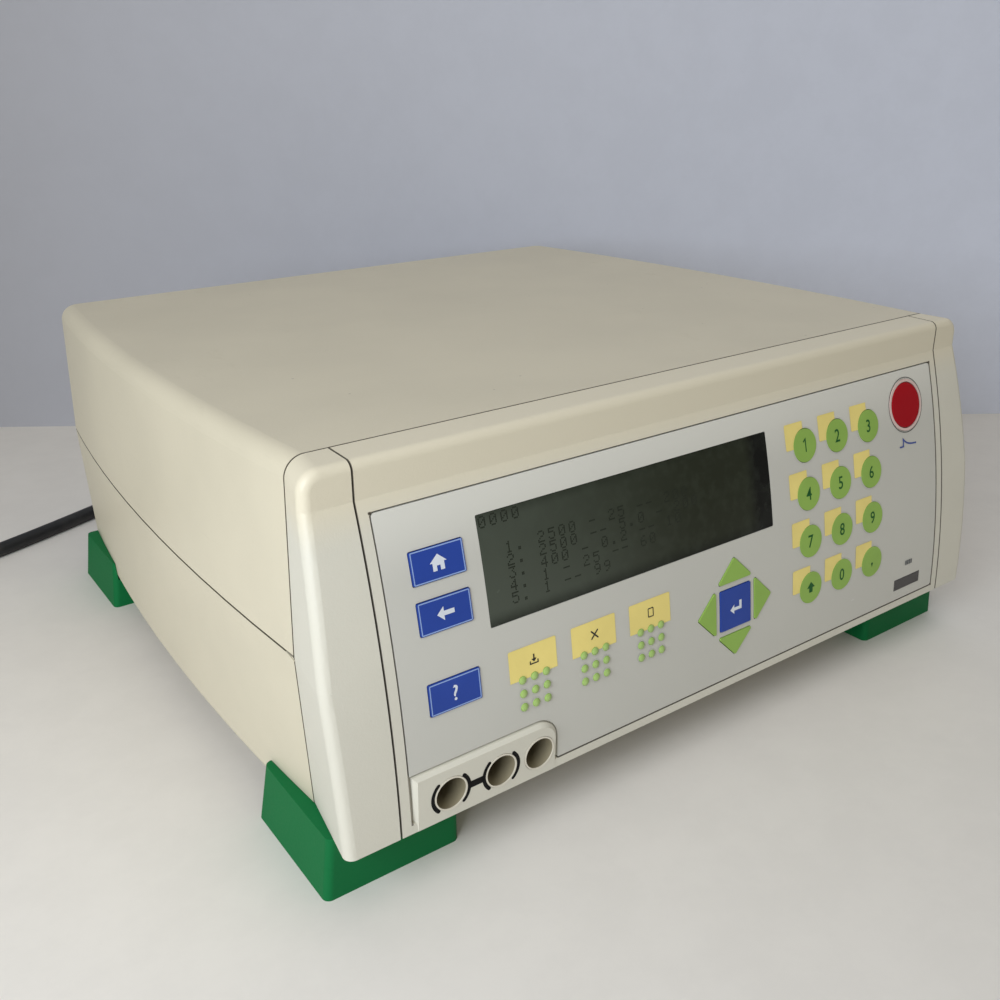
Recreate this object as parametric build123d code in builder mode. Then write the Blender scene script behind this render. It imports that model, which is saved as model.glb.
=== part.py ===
"""Electroporator main unit: a bench-top pulse generator in a moulded case.

Frame: millimetres, +X to the right seen from the front, -Y to the front, +Z up.
The origin is under the middle of the unit, on the bench.
"""

import os
from math import asin, atan2, cos, degrees, pi, radians, sin, sqrt, tan

from build123d import *

os.makedirs("parts", exist_ok=True)

# ---------------------------------------------------------------- driving sizes

# Body: two covers that meet at a level parting line
wall = 3.0
seam_y = -119.0                 # plane where the covers meet the front mouldings
seam_gap = 0.6
back_y = 144.0
half_width = 154.5              # at the widest place of the parting line
widest_y = -18.0
side_bow_radius = 1245.0
parting_z = 75.5
parting_gap = 0.7
parting_dip = 2.1               # the parting line turns down just behind the front seam
parting_dip_length = 6.0
case_bottom_z = 14.0
top_z = 137.5                   # at the front seam
top_fall = 2.8                  # over the depth of the cover
upper_draft = 0.032
lower_draft = 0.044
rear_corner_radius = 9.0
top_edge_radius = 6.5
bottom_edge_radius = 3.0
lip_clearance = 0.25
lip_thickness = 1.6
lip_height = 3.5

# Front mouldings: a sloping face that is part of a large cylinder
front_radius = 380.0
front_centre_y = 229.9
front_centre_z = 11.75
front_bottom_z = 22.5
band_y = -132.7                 # upright band above the sloping face
crease_z = 125.6
front_top_z = top_z - 0.3
front_edge_radius = 3.0
cheek_seam_x = 134.6
cheek_flare = 0.165             # the cheeks widen forwards from the seam
cheek_edge_radius = 3.0

# Printed overlay in its recess
overlay_half_width = 130.4
overlay_bottom_z = 26.1
overlay_top_z = 121.3
overlay_corner_radius = 1.2
overlay_thickness = 1.0
overlay_gap = 0.5
recess_depth = 1.1

# Display
display_left_x = -97.1
display_right_x = 29.2
display_bottom_z = 78.7
display_top_z = 112.9
display_corner_radius = 0.5
pane_clearance = 0.15
window_ledge = 0.8
module_margin = 3.0
module_thickness = 5.9
module_glass_depth = 0.8

# Keys
key_clearance = 0.25
key_travel = 0.5
key_proud = 0.3
round_key_proud = 0.15
key_flange = 0.8
flange_depth = 3.25
flange_thickness = 0.8
switch_gap = 0.25
key_corner_radius = 0.4

function_key_width = 18.2
function_key_height = 10.1
function_key_x = -112.2
function_key_levels = (103.2, 88.3, 63.4)

enter_x = 7.9
enter_z = 53.7
enter_width = 15.5
arrow_width = 17.7
arrow_height = 8.8
arrow_base = 10.05              # from the middle of the enter key
arrow_corner_radius = 0.6

dome_key_x = (-83.0, -58.2, -33.4)
dome_key_z = 53.8
dome_pitch = 4.65
dome_radius = 1.4
dome_carrier = 14.0

round_key_radius = 6.3
round_key_x = (49.7, 68.4, 87.4)
round_key_levels = (104.0, 85.9, 67.5, 48.8)

pulse_x = 112.2
pulse_z = 107.6
pulse_radius = 9.1
pulse_ring_radius = 10.4
pulse_ring_width = 1.0
pulse_ring_proud = 0.2

status_left_x = 104.1
status_right_x = 121.2
status_bottom_z = 30.5
status_top_z = 35.2

# Keypad board behind the fascia
board_level_z = 74.0
board_depth = 12.0
board_thickness = 1.6
board_left_x = -124.0
board_right_x = 125.0
board_half_height = 41.0
board_post_radius = 2.5
board_post_places = (
    (-121.5, 50.0), (-121.5, 112.0), (37.5, 38.0), (37.5, 112.0), (122.5, 45.0), (122.5, 95.0)
)
board_notch_x = -68.0           # the board leaves room for the socket sleeves
board_notch_z = 43.0
switch_size = 6.0

# Raised socket block, moulded on the fascia
block_left_x = -129.9
block_right_x = -75.6
block_top_z = 41.7
block_proud = 1.8               # at the top edge
block_foot_proud = 0.1          # its flat face runs out at the bottom edge
block_bevel = 1.2
block_corner_radius = 7.5
block_root = 0.2                # the block starts this far in front of the inner face
socket_z = 31.2
socket_x = (-117.0, -98.3, -83.3)
socket_bore_radius = 5.4
socket_bore_depth = 20.0
sleeve_radius = 5.9
sleeve_proud = 0.15             # in front of the block's face
sleeve_length = 30.0
sleeve_flange_radius = 7.2
sleeve_flange_thickness = 2.0
contact_radius = 3.0
contact_bore_radius = 2.0

# Corner feet
foot_height = 22.2
foot_draft = 0.108              # of the outer side
foot_rear_draft = 0.16
front_foot_outer_x = half_width + 0.7
front_foot_inner_x = front_foot_outer_x - 48.8
front_foot_front_y = -137.8
front_foot_rear_y = -87.6
rear_foot_outer_x = half_width - 3.6
rear_foot_inner_x = rear_foot_outer_x - 48.5
rear_foot_front_y = 89.1
rear_foot_rear_y = 137.0
foot_corner_radius = 2.5
foot_case_gap = 0.15
foot_screw_shift = 4.0          # the screws stand this far inwards of the feet's middles

# Screws
screw_radius = 2.0
screw_clearance_radius = 2.3
screw_head_radius = 3.6
screw_head_height = 2.4
boss_radius = 4.2

# Rear panel and what it carries
panel_half_width = 118.0
panel_bottom_z = 27.0
panel_top_z = 121.0
panel_corner_radius = 4.0
panel_thickness = 1.5
panel_ledge = 4.0
panel_gap = 0.3
panel_screw_inset = 6.0
rear_face_y = 151.5             # the finger guard stands this far back

fan_x = -72.0
fan_z = 76.0
fan_size = 60.0
fan_depth = 20.0
fan_bore_radius = 28.0
fan_hole_pitch = 50.0
fan_hub_radius = 12.0
fan_blade_gap = 1.0
fan_blades = 7
fan_shaft_radius = 1.5
fan_hub_edge_radius = 1.5
blade_root = 1.0                # the blades start this far inside the hub's skin
fan_shaft_clearance = 0.05
guard_wire = 1.6

inlet_x = 80.0
inlet_z = 50.0
inlet_flange_width = 52.0
inlet_flange_height = 66.0
inlet_flange_thickness = 2.5
inlet_edge_radius = 0.8
inlet_body_width = 38.0
inlet_body_height = inlet_flange_height - 8.0
inlet_body_depth = 30.0
inlet_cavity_width = 24.6
inlet_cavity_height = 16.9
inlet_cavity_depth = 17.0
inlet_module_shift = 12.0       # the module's middle stands above the inlet's middle
pin_width = 4.0
pin_thickness = 2.0
pin_length = 14.0
pin_spread = 7.0
pin_rise = 2.0

drawer_width = 22.0
drawer_height = 7.0
drawer_depth = 24.0
drawer_clearance = 0.3
drawer_rise = inlet_flange_height / 2 - 16.0    # above the middle of the inlet

rocker_width = 18.0
rocker_rise = inlet_flange_height / 2 - 1.0
rocker_clearance = 0.4
rocker_tilt = 10.0
rocker_depth = 9.0
rocker_pin_radius = 1.5
rocker_pin_clearance = 0.06
rocker_pin_reach = 1.8

module_socket_x = (2.0, 30.0)
module_socket_z = 76.0

# Chassis and inner pieces
floor_boss_height = 7.0
chassis_thickness = 2.0
chassis_half_width = 128.0
chassis_front_y = -96.0
chassis_rear_y = 134.0
inner_gap = 0.3
chassis_screw_places = ((118.0, -88.0), (100.0, 122.0))
standoff_height = 8.0
standoff_radius = 3.0

main_board_left_x = -120.0
main_board_right_x = -10.0
main_board_front_y = -80.0
main_board_rear_y = 36.0

supply_x = 75.0
supply_y = 55.0
supply_width = 96.0
supply_length = 110.0
supply_height = 42.0

capacitor_radius = 16.0
capacitor_height = 48.0
capacitor_edge_radius = 1.5
capacitor_x = 50.0
capacitor_y = -52.0
capacitor_pitch = 36.0
capacitor_columns = 3
capacitor_rows = 2

sink_x = -85.0
sink_y = 85.0
sink_width = 60.0
sink_length = 50.0
sink_height = 40.0
sink_fins = 9
sink_base = 5.0
fin_thickness = 2.0

# Mains lead
cord_radius = 3.65
connector_width = 27.0
connector_height = 20.5
connector_length = 32.0
connector_gap = 1.0
relief_length = 24.0
relief_base_radius = 6.5
relief_tip_radius = 4.2
plug_half_height = 11.45
plug_width = 26.0
plug_length = 36.0
plug_taper_length = 12.0
plug_corner_radius = 3.0
plug_taper = 8.0                # the grip is this much narrower at the cord

# ---------------------------------------------------------------- shared shapes

slope = degrees(atan2(top_fall, back_y - seam_y))
covers_front_y = seam_y + seam_gap / 2
mouldings_rear_y = seam_y - seam_gap / 2


def draft_inset(z):
    """How far the side walls lean in at a level, from the parting line."""
    draft = upper_draft if z > parting_z else lower_draft
    return draft * abs(z - parting_z)


def side_x(y, z):
    """Half the width of the covers: a shallow arc in plan, drafted up and down."""
    bow = side_bow_radius - sqrt(side_bow_radius**2 - (y - widest_y) ** 2)
    return half_width - bow - draft_inset(z)


def plan_outline(z, inset, front_y):
    """Plan outline of the covers at a level, moved inwards by the inset."""
    back = back_y - inset
    front_x = side_x(front_y, z) - inset
    wide_x = side_x(widest_y, z) - inset
    back_x = side_x(back, z) - inset
    with BuildSketch(Plane.XY.offset(z)) as outline:
        with BuildLine():
            ThreePointArc((front_x, front_y), (wide_x, widest_y), (back_x, back))
            Line((back_x, back), (-back_x, back))
            ThreePointArc((-back_x, back), (-wide_x, widest_y), (-front_x, front_y))
            Line((-front_x, front_y), (front_x, front_y))
        make_face()
        fillet(outline.vertices().group_by(Axis.Y)[-1], rear_corner_radius - inset)
    return outline.sketch


def body_form(inset, front_y, rounded=True):
    """The closed form of both covers, moved inwards by the inset."""
    low, high = case_bottom_z + inset, top_z + wall
    lower = [plan_outline(z, inset, front_y) for z in (low, parting_z)]
    upper = [plan_outline(z, inset, front_y) for z in (parting_z, high)]
    roof = Plane(
        origin=(0, seam_y, top_z - inset),
        z_dir=(0, sin(radians(slope)), cos(radians(slope))),
    )
    with BuildPart() as form:
        loft(sections=lower, ruled=True)
        loft(sections=upper, ruled=True)
        split(bisect_by=roof, keep=Keep.BOTTOM)
        if rounded:
            top_edges = form.faces().sort_by(Axis.Z)[-1].edges()
            fillet(top_edges.filter_by(lambda edge: edge.center().Y > front_y + 1), top_edge_radius - inset)
            bottom_edges = form.faces().sort_by(Axis.Z)[0].edges()
            if inset < bottom_edge_radius:
                fillet(
                    bottom_edges.filter_by(lambda edge: edge.center().Y > front_y + 1),
                    bottom_edge_radius - inset,
                )
    return form.part


def above_parting(shift):
    """Everything above the parting line, with the line moved by the shift."""
    level = parting_z + shift
    reach = half_width + wall
    far_y = back_y + wall
    near_y = seam_y - wall
    dip_start = seam_y + parting_dip_length
    with BuildPart() as above:
        with BuildSketch(Plane.YZ.offset(-reach)):
            with BuildLine():
                Line((far_y, level), (dip_start, level))
                dip = TangentArc(
                    (dip_start, level), (near_y, level - parting_dip * 2), tangent=(-1, 0)
                )
                Polyline(dip @ 1, (near_y, top_z + wall), (far_y, top_z + wall), (far_y, level))
            make_face()
        extrude(amount=2 * reach)
    return above.part


def front_y_at(z, depth=0.0):
    """The sloping face at a level, or a surface that lies the depth behind it."""
    return front_centre_y - sqrt((front_radius - depth) ** 2 - (z - front_centre_z) ** 2)


def front_plane(x, z, depth=0.0):
    """Plane tangent to the sloping face, facing forwards, moved inwards by the depth."""
    tilt = asin((z - front_centre_z) / front_radius)
    outward = Vector(0, -cos(tilt), sin(tilt))
    origin = Vector(x, front_y_at(z), z) - outward * depth
    return Plane(origin=origin, x_dir=(1, 0, 0), z_dir=outward)


def front_slab(near, far):
    """Curved slab between two depths behind the sloping face."""
    reach = half_width + wall
    with BuildPart() as slab:
        with BuildSketch(Plane.YZ.offset(-reach)):
            with Locations((front_centre_y, front_centre_z)):
                Circle(front_radius - near)
                Circle(front_radius - far, mode=Mode.SUBTRACT)
        extrude(amount=2 * reach)
    return slab.part


front_view = Plane.XZ.offset(80)        # drawings on this plane are carried forwards
front_view_depth = 90


def front_profile(depth, rear_y):
    """Side profile of the front mouldings, moved inwards by the depth."""
    top_slope = (top_z - front_top_z) / (seam_y - band_y)
    rear_top_z = front_top_z + top_slope * (rear_y - band_y) - depth
    crease = (front_y_at(crease_z, depth), crease_z)
    bottom = (front_y_at(front_bottom_z + depth, depth), front_bottom_z + depth)
    middle_z = (crease_z + front_bottom_z) / 2
    with BuildSketch(Plane.YZ) as profile:
        with BuildLine():
            ThreePointArc(bottom, (front_y_at(middle_z, depth), middle_z), crease)
            Polyline(
                crease,
                (crease[0], front_top_z - depth),
                (rear_y, rear_top_z),
                (rear_y, front_bottom_z + depth),
                bottom,
            )
        make_face()
    return profile.sketch


# ---------------------------------------------------------------- keys and their places

def function_outline(grow):
    """Outline of a blue key."""
    RectangleRounded(
        function_key_width + 2 * grow, function_key_height + 2 * grow, key_corner_radius + grow
    )


def enter_outline(grow):
    """Outline of the square key."""
    RectangleRounded(enter_width + 2 * grow, enter_width + 2 * grow, key_corner_radius + grow)


def round_outline(grow):
    """Outline of a round key."""
    Circle(round_key_radius + grow)


def pulse_outline(grow):
    """Outline of the red button."""
    Circle(pulse_radius + grow)


def dome_outline(grow):
    """Outline of nine domes in three rows."""
    with GridLocations(dome_pitch, dome_pitch, 3, 3):
        Circle(dome_radius + grow)


def arrow_outline(turn):
    """Returns the outline of an arrow key that points up, turned by the angle."""

    def outline(grow):
        half, rise = arrow_width / 2, arrow_height / 2
        with BuildSketch(mode=Mode.PRIVATE) as arrow:
            with BuildLine():
                Polyline((-half, -rise), (half, -rise), (0, rise), close=True)
            make_face()
            fillet(arrow.vertices(), arrow_corner_radius)
            if grow:
                offset(amount=grow)
        add(arrow.sketch.rotate(Axis.Z, turn))

    return outline


arrow_reach = arrow_base + arrow_height / 2
keys = {
    "home_key": (function_key_x, function_key_levels[0], function_outline, key_proud),
    "back_key": (function_key_x, function_key_levels[1], function_outline, key_proud),
    "help_key": (function_key_x, function_key_levels[2], function_outline, key_proud),
    "enter_key": (enter_x, enter_z, enter_outline, key_proud),
    "up_key": (enter_x, enter_z + arrow_reach, arrow_outline(0), key_proud),
    "left_key": (enter_x - arrow_reach, enter_z, arrow_outline(90), key_proud),
    "down_key": (enter_x, enter_z - arrow_reach, arrow_outline(180), key_proud),
    "right_key": (enter_x + arrow_reach, enter_z, arrow_outline(270), key_proud),
    "pulse_button": (pulse_x, pulse_z, pulse_outline, key_proud),
}
for key_name, column in zip(("save_key", "delete_key", "clear_key"), dome_key_x):
    keys[key_name] = (column, dome_key_z, dome_outline, key_proud)
round_key_names = (
    ("digit_1", "digit_2", "digit_3"),
    ("digit_4", "digit_5", "digit_6"),
    ("digit_7", "digit_8", "digit_9"),
    ("shift_key", "digit_0", "point_key"),
)
for row_names, level in zip(round_key_names, round_key_levels):
    for key_name, column in zip(row_names, round_key_x):
        keys[key_name] = (column, level, round_outline, round_key_proud)

hole_depth = wall + 1.0
with BuildPart() as key_holes:
    for x, z, outline, proud in keys.values():
        with BuildSketch(front_plane(x, z, hole_depth)):
            outline(key_clearance)
        extrude(amount=hole_depth + 1.0)

for key_name, (x, z, outline, proud) in keys.items():
    with BuildPart() as key:
        with BuildSketch(front_plane(x, z, flange_depth)):
            outline(0)
        extrude(amount=flange_depth + proud)
        with BuildSketch(front_plane(x, z, flange_depth + flange_thickness)):
            if outline is dome_outline:
                RectangleRounded(dome_carrier, dome_carrier, key_corner_radius)
            else:
                outline(key_flange)
        extrude(amount=flange_thickness)
        if outline is dome_outline:
            tips = key.faces().sort_by(Axis.Y)[0:9]
            fillet(tips.edges(), key_proud)
        elif outline is pulse_outline:
            chamfer(key.faces().sort_by(Axis.Y)[0].edges(), key_proud)
    key.part.label = key_name
    export_step(key.part, f"parts/{key_name}.step")

# ---------------------------------------------------------------- covers

outer_form = body_form(0, covers_front_y)
inner_form = body_form(wall, seam_y - wall)
lip_outer = body_form(wall + lip_clearance, seam_y + wall, rounded=False)
lip_inner = body_form(wall + lip_clearance + lip_thickness, seam_y - wall, rounded=False)

panel_width = 2 * panel_half_width
panel_height = panel_top_z - panel_bottom_z
panel_middle_z = (panel_top_z + panel_bottom_z) / 2
panel_face_y = back_y - panel_gap
panel_back_y = panel_face_y - panel_thickness

with BuildPart() as panel_opening:
    with BuildSketch(Plane.XZ.offset(-panel_back_y)):
        with Locations((0, panel_middle_z)):
            RectangleRounded(
                panel_width + 2 * panel_gap, panel_height + 2 * panel_gap, panel_corner_radius + panel_gap
            )
    extrude(amount=-2 * wall)
    with BuildSketch(Plane.XZ.offset(-panel_back_y)):
        with Locations((0, panel_middle_z)):
            RectangleRounded(
                panel_width - 2 * panel_ledge, panel_height - 2 * panel_ledge, panel_corner_radius
            )
    extrude(amount=2 * wall)

panel_screws = [
    (side * (panel_half_width - panel_screw_inset), level)
    for side in (-1, 1)
    for level in (panel_bottom_z + panel_screw_inset, panel_top_z - panel_screw_inset)
]
panel_boss_length = 8.0
screw_length = 8.0

feet = {
    "front_left_foot": (-1, front_foot_outer_x, front_foot_inner_x, front_foot_front_y, front_foot_rear_y),
    "front_right_foot": (1, front_foot_outer_x, front_foot_inner_x, front_foot_front_y, front_foot_rear_y),
    "rear_left_foot": (-1, rear_foot_outer_x, rear_foot_inner_x, rear_foot_front_y, rear_foot_rear_y),
    "rear_right_foot": (1, rear_foot_outer_x, rear_foot_inner_x, rear_foot_front_y, rear_foot_rear_y),
}


def foot_screw_place(side, outer_x, inner_x, front_y, rear_y):
    """The screw of a foot: in the middle of the tray under the case."""
    tray_front = max(front_y, seam_y)
    return side * ((outer_x + inner_x) / 2 - foot_screw_shift), (tray_front + rear_y) / 2


foot_screws = [foot_screw_place(*shape) for shape in feet.values()]
floor_z = case_bottom_z + wall
chassis_z = floor_z + floor_boss_height
chassis_screws = [(side * x, y) for side in (-1, 1) for x, y in chassis_screw_places]



def panel_bosses(places):
    """Bosses behind the corners of the rear panel, with their screw holes."""
    with BuildSketch(Plane.XZ.offset(-panel_back_y)) as bosses:
        with Locations(*places):
            Circle(boss_radius)
            Circle(screw_radius, mode=Mode.SUBTRACT)
    with BuildSketch(Plane.XZ.offset(-panel_back_y)) as holes:
        with Locations(*places):
            Circle(screw_radius)
    extrude(bosses.sketch, amount=panel_boss_length)
    extrude(holes.sketch, amount=panel_boss_length, mode=Mode.SUBTRACT)


with BuildPart() as top_cover:
    add(outer_form)
    add(inner_form, mode=Mode.SUBTRACT)
    add(above_parting(parting_gap / 2), mode=Mode.INTERSECT)
    add(panel_opening.part, mode=Mode.SUBTRACT)
    panel_bosses([place for place in panel_screws if place[1] > parting_z])
top_cover.part.label = "top_cover"
export_step(top_cover.part, "parts/top_cover.step")

vent_slots = 9
vent_pitch = 8.0
vent_width = 3.0
vent_length = 34.0
vent_rows_pitch = 60.0
front_wall_top_z = front_bottom_z + wall

# Lip of the bottom case: it stands up inside the top cover and closes the gap
lip_root = -parting_gap / 2 - lip_height
with BuildPart() as lip:
    add(lip_outer)
    add(above_parting(-parting_gap / 2 - 1), mode=Mode.INTERSECT)
    add(above_parting(lip_height), mode=Mode.SUBTRACT)
with BuildPart() as lip_foot:
    add(inner_form)
    add(outer_form, mode=Mode.INTERSECT)
    add(above_parting(lip_root), mode=Mode.INTERSECT)
    add(above_parting(-parting_gap / 2), mode=Mode.SUBTRACT)

with BuildPart() as bottom_case:
    add(outer_form)
    add(inner_form, mode=Mode.SUBTRACT)
    add(above_parting(-parting_gap / 2), mode=Mode.SUBTRACT)
    # Front wall behind the foot of the fascia
    with BuildSketch(Plane.XZ.offset(-covers_front_y - wall)):
        with Locations((0, (case_bottom_z + 1 + front_wall_top_z) / 2)):
            Rectangle(2 * (side_x(seam_y, floor_z) - wall / 2), front_wall_top_z - case_bottom_z - 1)
    extrude(amount=wall)
    # Bosses for the chassis and the feet
    with BuildSketch(Plane.XY.offset(floor_z)):
        with Locations(*chassis_screws):
            Circle(boss_radius)
    extrude(amount=floor_boss_height)
    with BuildSketch(Plane.XY.offset(floor_z)):
        with Locations(*foot_screws):
            Circle(boss_radius)
    extrude(amount=floor_boss_height - 1)
    with BuildSketch(Plane.XY.offset(case_bottom_z)):
        with Locations(*foot_screws):
            Circle(screw_radius)
    extrude(amount=screw_length, mode=Mode.SUBTRACT)
    with BuildSketch(Plane.XY.offset(chassis_z)):
        with Locations(*chassis_screws):
            Circle(screw_radius)
    extrude(amount=-screw_length, mode=Mode.SUBTRACT)
    # Air intake slots in the floor
    with BuildSketch(Plane.XY.offset(case_bottom_z)):
        with GridLocations(vent_pitch, vent_rows_pitch, vent_slots, 2):
            SlotOverall(vent_length, vent_width, rotation=90)
    extrude(amount=wall, mode=Mode.SUBTRACT)
    add(lip.part)
    add(lip_foot.part)
    add(lip_inner, mode=Mode.SUBTRACT)
    add(panel_opening.part, mode=Mode.SUBTRACT)
    panel_bosses([place for place in panel_screws if place[1] < parting_z])
bottom_case.part.label = "bottom_case"
export_step(bottom_case.part, "parts/bottom_case.step")

# ---------------------------------------------------------------- front mouldings

front_outer = front_profile(0, mouldings_rear_y)
front_inner = front_profile(wall, mouldings_rear_y + wall)
fascia_half_width = cheek_seam_x - seam_gap / 2
cheek_inner_x = cheek_seam_x + seam_gap / 2


def cheek_outline(z):
    """Plan outline of a cheek at a level: its outer side flares forwards."""
    near_y = front_centre_y - front_radius - wall
    seam_x = side_x(seam_y, z)
    flare_x = seam_x + cheek_flare * (mouldings_rear_y - near_y)
    with BuildSketch(Plane.XY.offset(z)) as outline:
        with BuildLine():
            Polyline(
                (cheek_inner_x, mouldings_rear_y),
                (seam_x, mouldings_rear_y),
                (flare_x, near_y),
                (cheek_inner_x, near_y),
                close=True,
            )
        make_face()
    return outline.sketch


cheek_lower = [cheek_outline(z) for z in (front_bottom_z - 1, parting_z)]
cheek_upper = [cheek_outline(z) for z in (parting_z, top_z + wall)]
with BuildPart() as cheek_form:
    loft(sections=cheek_lower, ruled=True)
    loft(sections=cheek_upper, ruled=True)
    extrude(front_outer, amount=half_width + wall, mode=Mode.INTERSECT)
    top_side = cheek_form.faces().sort_by(Axis.Z)[-1].edges().sort_by(Axis.X)[-1]
    fillet(top_side, top_edge_radius)
    band = cheek_form.faces().filter_by(Axis.Y).sort_by(Axis.Y)[0]
    slope_face = cheek_form.faces().filter_by(GeomType.CYLINDER).sort_by(Axis.Y)[0]
    rim = [
        edge
        for face in (band, slope_face)
        for edge in face.edges()
        if edge.center().X > cheek_inner_x + 1 and edge.center().Z > front_bottom_z + 1
        and not (abs(edge.center().Z - crease_z) < 0.1 and edge.length > 3 * cheek_edge_radius)
    ]
    fillet(rim, cheek_edge_radius)

with BuildPart() as cheek_core:
    extrude(front_inner, amount=half_width + wall)
    with BuildSketch(Plane.XY.offset(front_bottom_z)):
        with BuildLine():
            near_y = front_centre_y - front_radius
            core_x = side_x(seam_y, front_bottom_z) - wall
            Polyline(
                (cheek_inner_x - 1, mouldings_rear_y + wall),
                (core_x, mouldings_rear_y + wall),
                (core_x, mouldings_rear_y),
                (core_x + cheek_flare * (mouldings_rear_y - near_y), near_y),
                (cheek_inner_x - 1, near_y),
                close=True,
            )
        make_face()
    extrude(amount=top_z, mode=Mode.INTERSECT)

with BuildPart() as right_cheek:
    add(cheek_form.part)
    add(cheek_core.part, mode=Mode.SUBTRACT)
right_cheek.part.label = "right_cheek"
export_step(right_cheek.part, "parts/right_cheek.step")

with BuildPart() as left_cheek:
    add(right_cheek.part)
    mirror(about=Plane.YZ, mode=Mode.REPLACE)
left_cheek.part.label = "left_cheek"
export_step(left_cheek.part, "parts/left_cheek.step")


def overlay_outline(grow):
    """Front view of the printed overlay."""
    with Locations((0, (overlay_bottom_z + overlay_top_z) / 2)):
        RectangleRounded(
            2 * (overlay_half_width + grow),
            overlay_top_z - overlay_bottom_z + 2 * grow,
            overlay_corner_radius + grow,
        )


def display_outline(grow, mode=Mode.ADD):
    """Front view of the display pane."""
    middle = ((display_left_x + display_right_x) / 2, (display_bottom_z + display_top_z) / 2)
    with Locations(middle):
        RectangleRounded(
            display_right_x - display_left_x + 2 * grow,
            display_top_z - display_bottom_z + 2 * grow,
            display_corner_radius,
            mode=mode,
        )


def status_outline(grow, mode=Mode.ADD):
    """Front view of the small dark window."""
    with Locations(((status_left_x + status_right_x) / 2, (status_bottom_z + status_top_z) / 2)):
        Rectangle(
            status_right_x - status_left_x + 2 * grow,
            status_top_z - status_bottom_z + 2 * grow,
            mode=mode,
        )


block_middle_z = (front_bottom_z + block_top_z) / 2
block_middle_x = (block_left_x + block_right_x) / 2


def block_outline(grow, foot):
    """Outline of the socket block in its own plane: round at the right end."""
    low, high = -(block_top_z - front_bottom_z) / 2 - foot, (block_top_z - front_bottom_z) / 2 + grow
    left, right = block_left_x - grow - block_middle_x, block_right_x + grow - block_middle_x
    with BuildSketch(mode=Mode.PRIVATE) as block:
        with BuildLine():
            Polyline((left, low), (right, low), (right, high), (left, high), close=True)
        make_face()
        corners = block.vertices()
        fillet(corners.sort_by(Axis.X)[-2:].sort_by(Axis.Y)[-1], block_corner_radius + grow)
    add(block.sketch)


block_plane = front_plane(block_middle_x, block_middle_z)
block_low = front_plane(block_middle_x, front_bottom_z, -block_foot_proud).origin
block_high = front_plane(block_middle_x, block_top_z, -block_proud).origin
block_face = Plane(
    origin=(block_low + block_high) / 2,
    x_dir=(1, 0, 0),
    z_dir=Vector(1, 0, 0).cross(block_high - block_low),
)
block_face_axis = Axis(block_face.origin, block_face.z_dir)
board_plane = front_plane((board_left_x + board_right_x) / 2, board_level_z, board_depth)
board_width = board_right_x - board_left_x


def on_board(x, z):
    """Place on the keypad board behind a point of the sloping face."""
    place = board_plane.to_local_coords(Vector(x, front_y_at(z), z))
    return place.X, place.Y


board_posts = [on_board(x, z) for x, z in board_post_places]
post_bite = 0.5
post_slab = front_slab(wall - post_bite, board_depth + wall)
recess_slab = front_slab(-wall, recess_depth)

with BuildPart() as board_post_forms:
    with BuildSketch(board_plane.offset(0.05)):
        with Locations(*board_posts):
            Circle(board_post_radius)
    extrude(amount=board_depth)
    add(post_slab, mode=Mode.INTERSECT)

with BuildPart() as overlay_recess:
    with BuildSketch(front_view):
        overlay_outline(overlay_gap)
    extrude(amount=front_view_depth)
    add(recess_slab, mode=Mode.INTERSECT)

with BuildPart() as fascia_windows:
    with BuildSketch(front_view):
        display_outline(-window_ledge)
        status_outline(-window_ledge)
    extrude(amount=front_view_depth)

pulse_plane = front_plane(pulse_x, pulse_z)
return_thickness = 2.5
tongue_places = (-90.0, 0.0, 90.0)
tongue_width = 30.0
tongue_length = 6.0
tongue_thickness = 2.0
tongue_drop = 0.8
tongue_bottom_z = front_top_z - wall - tongue_thickness

with BuildPart() as socket_block:
    with BuildSketch(block_plane.offset(-wall + block_root)):
        block_outline(0, 0)
    extrude(amount=wall + block_proud - block_root + block_bevel)
    split(bisect_by=block_face, keep=Keep.BOTTOM)
    face_edges = socket_block.faces().sort_by(block_face_axis)[-1].edges()
    chamfer(face_edges.filter_by(lambda edge: edge.center().Z > front_bottom_z + 1), block_bevel)

with BuildPart() as front_fascia:
    extrude(front_outer, amount=fascia_half_width, both=True)
    top_front = front_fascia.edges().filter_by(Axis.X).sort_by(Axis.Z)
    front_top_edge = [edge for edge in top_front if abs(edge.center().Y - band_y) < 0.6][-1]
    fillet(front_top_edge, front_edge_radius)
    extrude(front_inner, amount=fascia_half_width - return_thickness, both=True, mode=Mode.SUBTRACT)
    add(overlay_recess.part, mode=Mode.SUBTRACT)
    add(fascia_windows.part, mode=Mode.SUBTRACT)
    add(key_holes.part, mode=Mode.SUBTRACT)
    add(board_post_forms.part)
    add(socket_block.part)
    for x in socket_x:
        with BuildSketch(front_plane(x, socket_z, sleeve_length + 1)):
            Circle(sleeve_radius + pane_clearance)
        extrude(amount=sleeve_length + wall, mode=Mode.SUBTRACT)
        with BuildSketch(front_plane(x, socket_z, wall + 2 * inner_gap + sleeve_flange_thickness)):
            Circle(sleeve_flange_radius + pane_clearance)
        extrude(amount=sleeve_flange_thickness + 2 * inner_gap, mode=Mode.SUBTRACT)
    with BuildSketch(pulse_plane.offset(-wall - 1)):
        Circle(pulse_ring_radius + pane_clearance)
    extrude(amount=wall + 2, mode=Mode.SUBTRACT)
    # Tongues that reach under the edge of the top cover
    for length, height in ((wall, tongue_thickness + tongue_drop), (wall + tongue_length, tongue_thickness)):
        with BuildSketch(Plane.XZ.offset(wall - mouldings_rear_y)):
            with Locations(*[(x, tongue_bottom_z) for x in tongue_places]):
                Rectangle(tongue_width, height, align=(Align.CENTER, Align.MIN))
        extrude(amount=-length)
front_fascia.part.label = "front_fascia"
export_step(front_fascia.part, "parts/front_fascia.step")


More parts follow.
